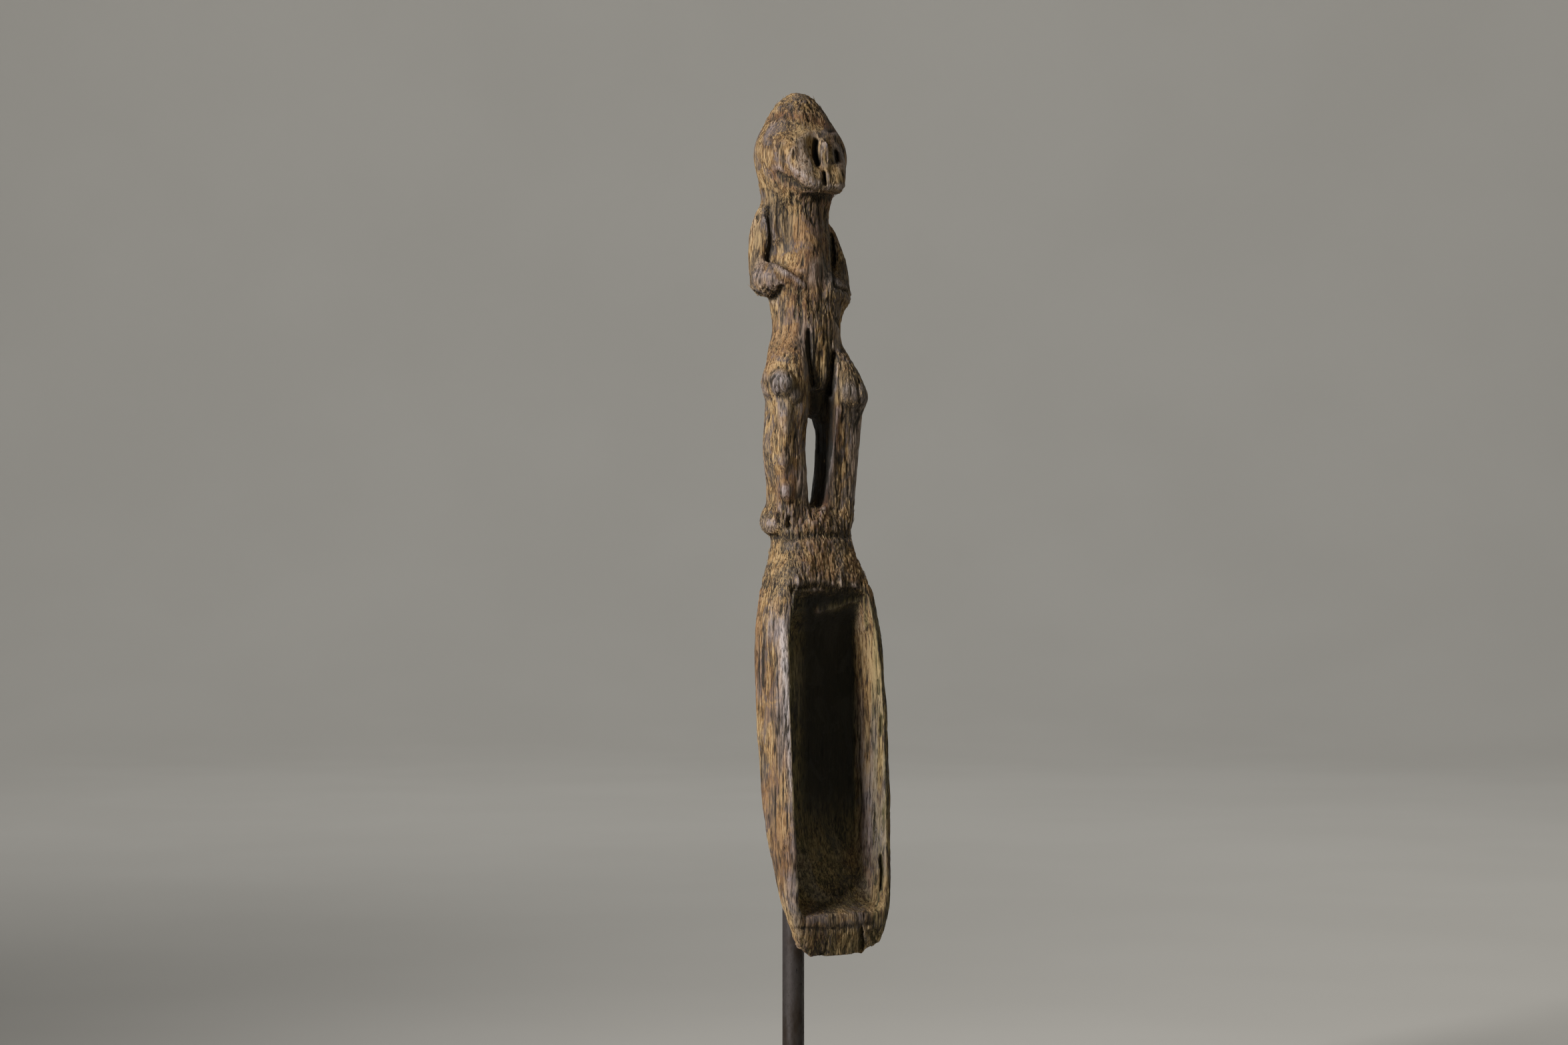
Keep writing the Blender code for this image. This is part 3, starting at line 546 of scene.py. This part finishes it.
def worn_and_highlit(s, zones, bulge, depth, coarse):
    """Grey wear on raised places and patches, which also stands in for highlight, and painted highlight on
    the near knee and the trough's right wall.
    """
    z = s.z
    wear_and_highlight = smooth_step(bulge, 0.05, 0.38) * (1.0 - 0.5 * depth)
    patches = noise(s.points / np.array([9.0, 9.0, 30.0]), 41)
    wear_and_highlight = np.maximum(wear_and_highlight, 0.75 * smooth_step(patches, 0.25, 0.6) * (1.0 - coarse))
    # Little grey down the far side, which lies in shade, as much of the grey is painted highlight.
    wear_and_highlight *= 1.0 - 0.85 * zones.far_side * (1.0 - smooth_step(z, 150.0, 160.0))
    wear_and_highlight *= 1.0 - 0.75 * (1.0 - smooth_step(z, 22.0, 28.0)) * smooth_step(s.u, -8.0, -4.0)
    middle = smooth_step(z, 26.0, 50.0) * (1.0 - smooth_step(z, 98.0, 128.0))
    # Painted highlight on the middle of the trough's right wall.
    wear_and_highlight = np.maximum(wear_and_highlight, 0.8 * zones.right_wall * zones.highlight_breakup * middle)
    # Painted highlight on the near knee.
    knee = np.hypot(s.u + 14.6, (z - 257.0) / 1.2) / 5.2
    return np.maximum(wear_and_highlight, 0.95 * (1.0 - smooth_step(knee, 0.4, 1.0)) * s.facing)


def shaded(s, zones):
    """Painted olive shade inside the trough, on its foot and lip, and down the far side of the bowl."""
    z = s.z
    hollow = np.maximum(zones.left_wall * 0.9, zones.inner * zones.front * 0.8)
    shade = hollow * smooth_step(z, 19.0, 27.0)
    far_side = zones.far_side * (1.0 - smooth_step(z, 150.0, 162.0))
    outside = np.maximum(0.36 * zones.lip, 0.55 * far_side)
    shade = np.maximum(shade, np.maximum(0.75 * zones.foot, outside))
    return shade * (1.0 - 0.3 * zones.foot)


def shadowed(s, zones):
    """Painted shadow, near black: the trough's floor, the inner sides of the legs and the crotch."""
    z = s.z
    # Painted shadow of the left rim over the trough's floor.
    floor = zones.inner * zones.front * smooth_step(z, 30.0, 76.0) * smooth_step(s.u, -10.0, -1.0)
    floor *= 1.0 - smooth_step(s.u, 18.5, 22.5)
    floor *= 1.0 - 0.85 * zones.splinters
    # Painted shadow on the inner side of the far leg, which the near leg shades.
    legs = smooth_step(z, 196.0, 206.0) * (1.0 - smooth_step(z, 252.0, 266.0))
    legs *= smooth_step(-(s.normals @ ACROSS), -0.1, 0.7) * smooth_step(s.u, -6.0, -2.0)
    legs *= 1.0 - smooth_step(s.u, 10.0, 14.0)
    # Painted shade in the crotch between the legs.
    crotch = smooth_step(s.u, -3.0, 0.5) * (1.0 - smooth_step(s.u, 7.0, 10.0))
    crotch *= smooth_step(z, 236.0, 242.0) * (1.0 - smooth_step(z, 249.0, 262.0))
    return np.maximum(floor * 0.97, np.maximum(legs * 0.92, crotch * 0.9))


# Where the figure is darkest, as (u, z, reach): knees, the bump under the near one, an ankle.
DARK_SPOTS = ((-13.4, 256.4, 7.0), (-7.4, 251.2, 5.5), (21.5, 249.2, 6.8), (-10.4, 193.5, 4.0))


def stained(s, zones):
    """Dark blotches, on the knees and ankle and in a band along the lip, but few on the head."""
    z = s.z
    stain = smooth_step(noise(s.points / np.array([6.0, 6.0, 17.0]), 43), 0.18, 0.55) * 0.9
    for u, height, reach in DARK_SPOTS:
        near = np.hypot(s.u - u, z - height) / reach
        stain = np.maximum(stain, 0.7 * (1.0 - smooth_step(near, 0.5, 1.2)) * s.facing)
    stain *= 1.0 - 0.6 * smooth_step(z, 338.0, 346.0) * (1.0 - smooth_step(z, 368.0, 376.0))
    # Fewer blotches on the trough's right wall and the left rim, which keeps their painted highlight
    # clear.
    stain *= 1.0 - 0.75 * np.maximum(zones.right_wall, zones.rim)
    band = smooth_step(z, 9.6, 11.0) * (1.0 - smooth_step(z, 14.0, 15.4))
    band *= smooth_step(s.u, -8.0, -5.0)
    return np.maximum(stain, 0.6 * band * smooth_step(-s.normals[:, 1], 0.0, 0.4))


def ruddied(s):
    """Red-brown wood along the jaw, the brim and the far shin."""
    rust = np.zeros(len(s.z))
    for path, reach in ((JAW, 3.6), (BRIM, 1.8), (RIGHT_SHIN, 2.2)):
        near = np.exp(-(path_distance(s.u, s.z, path) / reach) ** 2) * s.facing
        rust = np.maximum(rust, near)
    return rust


def carve(node):
    """The weathered carving, with attributes that its material reads."""
    made = fine_copy(node)
    s = Sculptor(made.data)
    soften(s)
    sculpt_head(s)
    sculpt_torso(s)
    sculpt_legs(s)
    sculpt_bowl(s)
    s.points = s.links.relax(s.points, 1)
    s.refresh()
    smooth = s.links.relax(s.points, 22)
    bulge = np.einsum("ij,ij->i", s.points - smooth, s.normals)  # how far each vertex stands proud
    inner = trough_share(s.points, s.normals)
    coarse = roughness_field(s.points)
    depth = weather(s)
    s.points = clamp_to_box(s.points)
    s.refresh()
    zones = Zones(s, inner)
    # Painted light: the lit middle of the trough's right wall and the ledge's splinters are made paler.
    highlight_pale = 0.75 * zones.right_wall * smooth_step(s.z, 60.0, 110.0)
    highlight_pale = np.maximum(highlight_pale, 0.6 * zones.splinters * smooth_step(s.u, 4.0, 14.0))
    # Dark grain grooves plus the painted shade of the deep slits.
    groove = np.clip(depth + s.cut, 0.0, 1.2)
    looks = (
        # name, values, rounds of smoothing over the surface
        # Grooves, with painted shade in the deep slits.
        ("groove", groove, 1),
        # Grey wear, partly painted highlight.
        ("wear_and_highlight", worn_and_highlit(s, zones, bulge, depth, coarse), 3),
        # Painted shade darkening the hollows.
        ("cavity_shade", smooth_step(-bulge, 0.08, 0.5), 2),
        # Painted shadow, near black.
        ("painted_shadow", shadowed(s, zones), 9),
        # Painted olive shade.
        ("shade", shaded(s, zones), 4),
        # Painted highlight on the left rim.
        ("rim", zones.rim, 3),
        ("rust", ruddied(s), 0),
        # Paler where painted light falls.
        ("highlight_pale", highlight_pale, 4),
        ("stain", stained(s, zones), 0),
        ("coarse", coarse, 0),
    )
    for name, values, rounds in looks:
        write_attribute(s.mesh, name, s.links.relax(values, rounds))
    return made, s, coarse


# ---- loose fibres --------------------------------------------------------------------------------

def fibres(s, coarse):
    """Short slivers that stand off the broken surface, each a closed three-sided splinter."""
    draw = np.random.default_rng(7)
    z = s.z
    chance = coarse ** 3 * (np.abs(s.normals[:, 2]) < 0.9)
    chance = chance * (1.0 - trough_share(s.points, s.normals))
    chance = np.where(z > CROWN_BRIM, chance * 1.6, chance)
    chance = np.where((z < LIP_TOP) | (np.abs(z - TROUGH_TOP) < 7.0), 0.0, chance)
    chosen = draw.choice(len(z), FIBRE_COUNT, replace=False, p=chance / chance.sum())
    verts = []
    faces = []
    for index in chosen:
        root = s.points[index]
        out = s.normals[index]
        length = draw.uniform(*FIBRE_LENGTHS)
        width = draw.uniform(*FIBRE_WIDTHS)
        lean = draw.uniform(*FIBRE_LEANS)
        up = np.array([draw.normal(0.0, 0.06), draw.normal(0.0, 0.06), 1.0])
        if draw.random() < HANGING_SHARE:
            up[2] = -1.0
        along = up - out * (up @ out) * (root[2] < TOP - 2.0) + out * lean
        along /= np.linalg.norm(along)
        side = np.cross(along, out)
        side /= max(np.linalg.norm(side), 1e-6)
        lift = np.cross(side, along)
        foot = root - along * length * 0.3 - lift * 0.15
        waist = root + along * length * 0.15 + lift * 0.06
        tip = root + along * length * 0.7 + lift * 0.1
        if max(foot[2], waist[2] + width, tip[2]) > TOP - 0.05:  # it would rise past the crown
            continue
        start = len(verts)
        verts += [foot, waist + side * width, waist - side * width, waist + lift * width * 1.2, tip]
        for a, b in ((1, 2), (2, 3), (3, 1)):
            faces.append((start, start + b, start + a))
            faces.append((start + 4, start + a, start + b))
    mesh = bpy.data.meshes.new("loose_fibres")
    placed = np.array(verts) * MM + ORIGIN
    mesh.from_pydata(placed.tolist(), [], faces)
    mesh.update()
    bm = bmesh.new()
    bm.from_mesh(mesh)
    bmesh.ops.recalc_face_normals(bm, faces=bm.faces)
    bm.to_mesh(mesh)
    bm.free()
    return link("loose_fibres", mesh)


# ---- materials -----------------------------------------------------------------------------------

class Nodes:
    """Short ways to wire a node material."""

    def __init__(self, name):
        self.material = bpy.data.materials.new(name)
        self.material.use_nodes = True
        self.tree = self.material.node_tree
        self.shader = self.tree.nodes["Principled BSDF"]
        self.place = self.tree.nodes.new("ShaderNodeTexCoord").outputs["Object"]

    def feed(self, source, socket):
        """Sets a socket to a number or a colour, or links it."""
        if isinstance(source, (int, float)):
            socket.default_value = source
        elif isinstance(source, tuple):
            socket.default_value = (*source, 1.0)
        else:
            self.tree.links.new(source, socket)

    def attribute(self, name):
        node = self.tree.nodes.new("ShaderNodeAttribute")
        node.attribute_name = name
        return node.outputs["Fac"]

    def noise(self, scale, detail=4.0, roughness=0.6, distortion=0.0):
        """Noise whose scale, in cells per metre, is a number or one for each axis."""
        stretch = (scale, scale, scale) if isinstance(scale, (int, float)) else scale
        mapping = self.tree.nodes.new("ShaderNodeMapping")
        mapping.inputs["Scale"].default_value = stretch
        self.tree.links.new(self.place, mapping.inputs["Vector"])
        node = self.tree.nodes.new("ShaderNodeTexNoise")
        node.inputs["Scale"].default_value = 1.0
        node.inputs["Detail"].default_value = detail
        node.inputs["Roughness"].default_value = roughness
        node.inputs["Distortion"].default_value = distortion
        self.tree.links.new(mapping.outputs["Vector"], node.inputs["Vector"])
        return node.outputs["Fac"]

    def spread(self, value, low, high, start=0.0, end=1.0):
        """Maps low..high to start..end, held at the ends."""
        node = self.tree.nodes.new("ShaderNodeMapRange")
        node.interpolation_type = "SMOOTHSTEP"
        for socket, number in zip(node.inputs[1:5], (low, high, start, end)):
            socket.default_value = number
        self.feed(value, node.inputs[0])
        return node.outputs[0]

    def math(self, operation, a, b):
        node = self.tree.nodes.new("ShaderNodeMath")
        node.operation = operation
        self.feed(a, node.inputs[0])
        self.feed(b, node.inputs[1])
        return node.outputs[0]

    def mix(self, share, a, b, blend="MIX"):
        node = self.tree.nodes.new("ShaderNodeMix")
        node.data_type = "RGBA"
        node.blend_type = blend
        self.feed(share, node.inputs[0])
        self.feed(a, node.inputs[6])
        self.feed(b, node.inputs[7])
        return node.outputs[2]

    def bump(self, height, strength, distance):
        node = self.tree.nodes.new("ShaderNodeBump")
        node.inputs["Strength"].default_value = strength
        node.inputs["Distance"].default_value = distance
        self.tree.links.new(height, node.inputs["Height"])
        self.tree.links.new(node.outputs["Normal"], self.shader.inputs["Normal"])

    def finish(self, colour, roughness, metallic=0.0, specular=0.5):
        self.feed(colour, self.shader.inputs["Base Color"])
        self.feed(roughness, self.shader.inputs["Roughness"])
        self.shader.inputs["Metallic"].default_value = metallic
        self.shader.inputs["Specular IOR Level"].default_value = specular
        return self.material


OCHRE = (0.26, 0.146, 0.048)
PALE_TAN = (0.45, 0.31, 0.155)
BROWN = (0.085, 0.044, 0.018)
DEEP_BROWN = (0.014, 0.008, 0.004)
RUST = (0.20, 0.085, 0.040)
# Grey of the wear, partly painted highlight.
WORN_HIGHLIGHT_GREY = (0.33, 0.28, 0.285)
PATINA = (0.115, 0.088, 0.082)
RIM_HIGHLIGHT_GREY = (0.56, 0.50, 0.50)
# Painted highlight of the left rim.
BROKEN_TAN = (0.40, 0.28, 0.13)
# Near black for the painted shadow and the darkest painted shade.
SHADOW_BLACK = (0.0050, 0.0042, 0.0018)
# Olive tones of the painted shade.
OLIVE = (0.105, 0.090, 0.032)
PALE_SHADE_OLIVE = (0.24, 0.19, 0.085)
STAIN_GREY = (0.060, 0.047, 0.036)


def wood_material():
    """Old weathered wood: tan and ochre streaks on brown, dark grooves with painted shade in the slits and
    hollows, grey edges that are partly painted highlight, painted olive shade and a painted shadow in the
    hollow.
    """
    n = Nodes("weathered_wood")
    groove = n.attribute("groove")
    wear_and_highlight = n.attribute("wear_and_highlight")
    cavity_shade = n.attribute("cavity_shade")
    painted_shadow = n.attribute("painted_shadow")
    shade = n.attribute("shade")
    stain = n.attribute("stain")
    rim = n.attribute("rim")
    rust = n.attribute("rust")
    highlight_pale = n.attribute("highlight_pale")
    coarse = n.attribute("coarse")
    patches = n.noise((60.0, 60.0, 34.0), 5.0, 0.55)
    streaks = n.noise((820.0, 820.0, 80.0), 4.0, 0.62, 0.5)
    hairs = n.noise((2300.0, 2300.0, 210.0), 3.0, 0.65, 0.3)
    grain = n.math("ADD", n.math("MULTIPLY", streaks, 0.5), n.math("MULTIPLY", hairs, 0.5))
    drift = n.math("MULTIPLY", n.math("SUBTRACT", patches, 0.5), 0.34)
    # The tone rises a little where painted light falls.
    tone = n.math("ADD", n.math("ADD", grain, drift), n.math("MULTIPLY", highlight_pale, 0.035))
    colour = n.mix(n.spread(tone, 0.445, 0.49), BROWN, OCHRE)
    colour = n.mix(n.spread(tone, 0.495, 0.555), colour, PALE_TAN)
    blotches = n.noise((90.0, 90.0, 62.0), 6.0, 0.66, 0.8)
    thin = n.spread(grain, 0.58, 0.5, 0.35, 0.9)
    patina = n.math("MULTIPLY", n.spread(blotches, 0.5, 0.58), thin)
    # No patina where painted light falls.
    patina = n.math("MULTIPLY", patina, n.spread(highlight_pale, 0.0, 0.8, 1.0, 0.0))
    colour = n.mix(patina, colour, PATINA)
    warm = n.noise((34.0, 34.0, 20.0), 3.0, 0.5)
    warm_share = n.math("MULTIPLY", n.spread(warm, 0.48, 0.62), 0.5)
    ruddy = n.math("ADD", warm_share, n.math("MULTIPLY", rust, 0.75))
    colour = n.mix(n.math("MULTIPLY", ruddy, n.spread(grain, 0.42, 0.56, 0.5, 1.0)), colour, RUST)
    # Grey wear, partly painted highlight.
    grey = n.math("MULTIPLY", wear_and_highlight, n.spread(grain, 0.42, 0.54, 0.15, 0.95))
    colour = n.mix(grey, colour, WORN_HIGHLIGHT_GREY)
    dirt = n.math("MULTIPLY", stain, n.spread(grain, 0.44, 0.6, 0.9, 0.3))
    colour = n.mix(dirt, colour, STAIN_GREY)
    # Painted highlight on the left rim.
    rim_highlight = n.math("MULTIPLY", rim, n.spread(grain, 0.42, 0.52, 0.35, 0.9))
    colour = n.mix(rim_highlight, colour, RIM_HIGHLIGHT_GREY)
    # Dark grooves, with painted shade in the deep sculpted slits.
    cut = n.math("ADD", groove, n.spread(hairs, 0.46, 0.34, 0.0, 0.35))
    colour = n.mix(n.spread(cut, 0.1, 0.72), colour, DEEP_BROWN)
    # Painted shade: hollows darkened towards deep brown.
    colour = n.mix(n.math("MULTIPLY", cavity_shade, 0.75), colour, DEEP_BROWN)
    bright = n.math("MULTIPLY", coarse, n.spread(hairs, 0.5, 0.6))
    colour = n.mix(n.math("MULTIPLY", bright, 0.45), colour, BROKEN_TAN)
    # Painted shade, from near black through olive to pale olive along the grain, where the shade mask
    # lies.
    shade_colour = n.mix(n.spread(tone, 0.44, 0.52), SHADOW_BLACK, OLIVE)
    shade_colour = n.mix(n.spread(tone, 0.53, 0.6), shade_colour, PALE_SHADE_OLIVE)
    colour = n.mix(shade, colour, shade_colour)
    # Painted shadow over all the rest.
    colour = n.mix(painted_shadow, colour, SHADOW_BLACK)
    relief = n.math("ADD", n.math("MULTIPLY", hairs, 0.8), n.math("MULTIPLY", streaks, 0.8))
    n.bump(relief, 0.9, 0.0006)
    roughness = n.spread(wear_and_highlight, 0.1, 0.9, 0.78, 0.42)
    roughness = n.math("SUBTRACT", roughness, n.math("MULTIPLY", patina, 0.22))
    return n.finish(colour, roughness, specular=0.45)


def fibre_material():
    """Dry, pale broken fibres."""
    n = Nodes("dry_fibre")
    tone = n.noise((300.0, 300.0, 90.0), 3.0)
    colour = n.mix(n.spread(tone, 0.35, 0.65), (0.36, 0.26, 0.14), (0.17, 0.10, 0.05))
    n.bump(n.noise((2500.0, 2500.0, 300.0)), 0.3, 0.0001)
    return n.finish(colour, 0.85, specular=0.3)


def rod_material():
    """Dark drawn steel with a brown skin and fine pits."""
    n = Nodes("dark_rod_steel")
    drawn = n.noise((1500.0, 1500.0, 60.0), 4.0)
    pits = n.noise((900.0, 900.0, 420.0), 5.0, 0.7)
    skin = n.noise((130.0, 130.0, 45.0), 4.0)
    colour = n.mix(n.spread(skin, 0.4, 0.62), (0.060, 0.051, 0.048), (0.034, 0.023, 0.016))
    colour = n.mix(n.spread(pits, 0.58, 0.72), colour, (0.016, 0.012, 0.010))
    relief = n.math("ADD", n.math("MULTIPLY", drawn, 0.3), pits)
    n.bump(relief, 0.4, 0.0002)
    return n.finish(colour, n.spread(pits, 0.35, 0.7, 0.36, 0.7), metallic=0.5)


def fitting_material():
    """Turned steel, oiled black, with bright traces of turning."""
    n = Nodes("blackened_steel")
    turned = n.noise((90.0, 90.0, 2600.0), 3.0)
    skin = n.noise((160.0, 160.0, 160.0), 4.0)
    colour = n.mix(n.spread(skin, 0.4, 0.65), (0.060, 0.058, 0.056), (0.030, 0.028, 0.026))
    colour = n.mix(n.spread(turned, 0.6, 0.72), colour, (0.16, 0.155, 0.15))
    n.bump(turned, 0.2, 0.0001)
    return n.finish(colour, n.spread(skin, 0.3, 0.7, 0.3, 0.5), metallic=0.85)


def brass_material():
    """Dull, handled brass with brown tarnish."""
    n = Nodes("tarnished_brass")
    tarnish = n.noise((210.0, 210.0, 210.0), 5.0)
    scratches = n.noise((300.0, 2400.0, 2400.0), 3.0)
    colour = n.mix(n.spread(tarnish, 0.42, 0.62), (0.46, 0.32, 0.13), (0.16, 0.095, 0.04))
    n.bump(scratches, 0.25, 0.0001)
    return n.finish(colour, n.spread(tarnish, 0.35, 0.7, 0.3, 0.6), metallic=0.9)


def paint_material():
    """Satin black stove paint with a faint orange-peel and dusty specks."""
    n = Nodes("satin_black_paint")
    peel = n.noise((900.0, 900.0, 900.0), 2.0, 0.4)
    dust = n.noise((2200.0, 2200.0, 2200.0), 2.0)
    cloud = n.noise((38.0, 38.0, 38.0), 4.0)
    colour = n.mix(n.spread(cloud, 0.4, 0.65), (0.017, 0.017, 0.018), (0.027, 0.026, 0.025))
    colour = n.mix(n.spread(dust, 0.68, 0.76), colour, (0.075, 0.070, 0.064))
    n.bump(peel, 0.18, 0.00015)
    return n.finish(colour, n.spread(cloud, 0.3, 0.7, 0.34, 0.5))


def felt_material():
    """Matted dark felt."""
    n = Nodes("dark_felt")
    matted = n.noise((1500.0, 1500.0, 1500.0), 6.0, 0.75, 1.5)
    colour = n.mix(n.spread(matted, 0.35, 0.65), (0.050, 0.046, 0.042), (0.016, 0.015, 0.014))
    n.bump(matted, 0.8, 0.0005)
    n.shader.inputs["Sheen Weight"].default_value = 0.4
    return n.finish(colour, 0.97, specular=0.1)


def dress(nodes):
    """Gives each CAD node of the stand its finish."""
    rod = rod_material()
    fitting = fitting_material()
    brass = brass_material()
    paint = paint_material()
    felt = felt_material()
    for name, node in nodes.items():
        if name == "carved_bowl":
            continue
        if name.startswith("foot_pad"):
            coat = felt
        elif name.startswith("saddle"):
            coat = brass
        elif name == "base_plate":
            coat = paint
        elif name == "stand_rod":
            coat = rod
        else:
            coat = fitting
        node.material_slots[0].material = coat


# ---- studio --------------------------------------------------------------------------------------

def cove():
    """A plain pale floor that curves up into a round wall."""
    sides = 96
    bends = 12
    profile = [(1.2, 0.0), (2.2, 0.0), (FLOOR_RADIUS, 0.0)]
    for step in range(1, bends + 1):
        angle = math.radians(90.0 * step / bends)
        radius = FLOOR_RADIUS + COVE_RADIUS * math.sin(angle)
        profile.append((radius, COVE_RADIUS - COVE_RADIUS * math.cos(angle)))
    profile.append((FLOOR_RADIUS + COVE_RADIUS, WALL_HEIGHT))
    bm = bmesh.new()
    middle = bm.verts.new((0.0, 0.0, 0.0))
    rings = []
    for radius, height in profile:
        ring = []
        for i in range(sides):
            angle = 2.0 * math.pi * i / sides
            ring.append(bm.verts.new((radius * math.cos(angle), radius * math.sin(angle), height)))
        rings.append(ring)
    for i in range(sides):
        j = (i + 1) % sides
        bm.faces.new((middle, rings[0][i], rings[0][j]))
        for low, high in zip(rings, rings[1:]):
            bm.faces.new((low[i], high[i], high[j], low[j]))
    mesh = bpy.data.meshes.new("studio_floor")
    bm.to_mesh(mesh)
    bm.free()
    mesh.shade_smooth()
    floor = link("studio_floor", mesh)
    n = Nodes("studio_paper")
    tone = n.noise((3.0, 3.0, 3.0), 2.0)
    colour = n.mix(n.spread(tone, 0.3, 0.7), (0.60, 0.585, 0.55), (0.62, 0.605, 0.57))
    n.finish(colour, 0.95, specular=0.1)
    mesh.materials.append(n.material)


def softbox(name, place, aim, size, power, colour, spread=180.0):
    """An area light; place and aim are (right, towards the viewer, up) in metres from the middle."""
    middle = Vector((0.0, 0.0, LIGHT_MIDDLE))

    def in_room(right, near, up):
        return middle + Vector(ACROSS) * right - Vector(AWAY) * near + Vector((0.0, 0.0, up))

    data = bpy.data.lights.new(name, "AREA")
    data.shape = "RECTANGLE"
    data.size, data.size_y = size
    data.energy = power
    data.color = colour
    data.spread = math.radians(spread)
    lamp = link(name, data)
    lamp.location = in_room(*place)
    lamp.rotation_euler = (in_room(*aim) - lamp.location).to_track_quat("-Z", "Y").to_euler()


def studio():
    """The floor, a narrow key light, three soft lights and a little light from the air."""
    cove()
    middle = (0.0, 0.0, 0.0)
    wall = (0.0, -3.8, 0.2)
    softbox("key", (-1.14, 1.02, 0.58), middle, (0.42, 0.55), KEY_POWER, (1.0, 0.975, 0.955), 46.0)
    softbox("fill", (1.0, 1.5, 0.5), middle, (0.9, 0.9), FILL_POWER, (1.0, 0.945, 0.68))
    softbox("side", (1.5, -0.9, 0.5), middle, (0.8, 0.8), SIDE_POWER, (1.0, 0.97, 0.86))
    softbox("backdrop", (0.0, -1.3, 2.2), wall, (2.4, 1.2), BACKDROP_POWER, (1.0, 0.99, 0.97))
    world = bpy.data.worlds.new("studio_air")
    world.use_nodes = True
    background = world.node_tree.nodes["Background"]
    background.inputs["Color"].default_value = (0.9, 0.93, 1.0, 1.0)
    background.inputs["Strength"].default_value = AIR
    bpy.context.scene.world = world
    bpy.context.scene.view_settings.view_transform = "Standard"


def camera():
    """Level, at the height of the middle of the view, on a long lens."""
    data = bpy.data.cameras.new("camera")
    data.lens = LENS
    data.sensor_width = SENSOR
    data.clip_end = 30.0
    made = link("camera", data)
    place = ORIGIN - ACROSS * STAND_LEFT * MM - AWAY * STAND_OFF * MM
    made.location = (place[0], place[1], ORIGIN[2] + EYE_HEIGHT * MM)
    made.rotation_euler = (math.radians(90.0), 0.0, VIEW_TURN)
    bpy.context.scene.camera = made


def main():
    camera()
    wood, sculptor, coarse = carve(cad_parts["carved_bowl"])
    loose = fibres(sculptor, coarse)
    write_points(wood.data, sculptor.points * MM + ORIGIN)
    wood.data.materials.clear()
    wood.data.materials.append(wood_material())
    wood.data.shade_smooth()
    loose.data.materials.append(fibre_material())
    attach(wood, "bowl_on_rod")
    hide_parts("carved_bowl")
    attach(loose, "bowl_on_rod")
    dress(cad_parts)
    studio()


main()
bpy.context.view_layer.update()
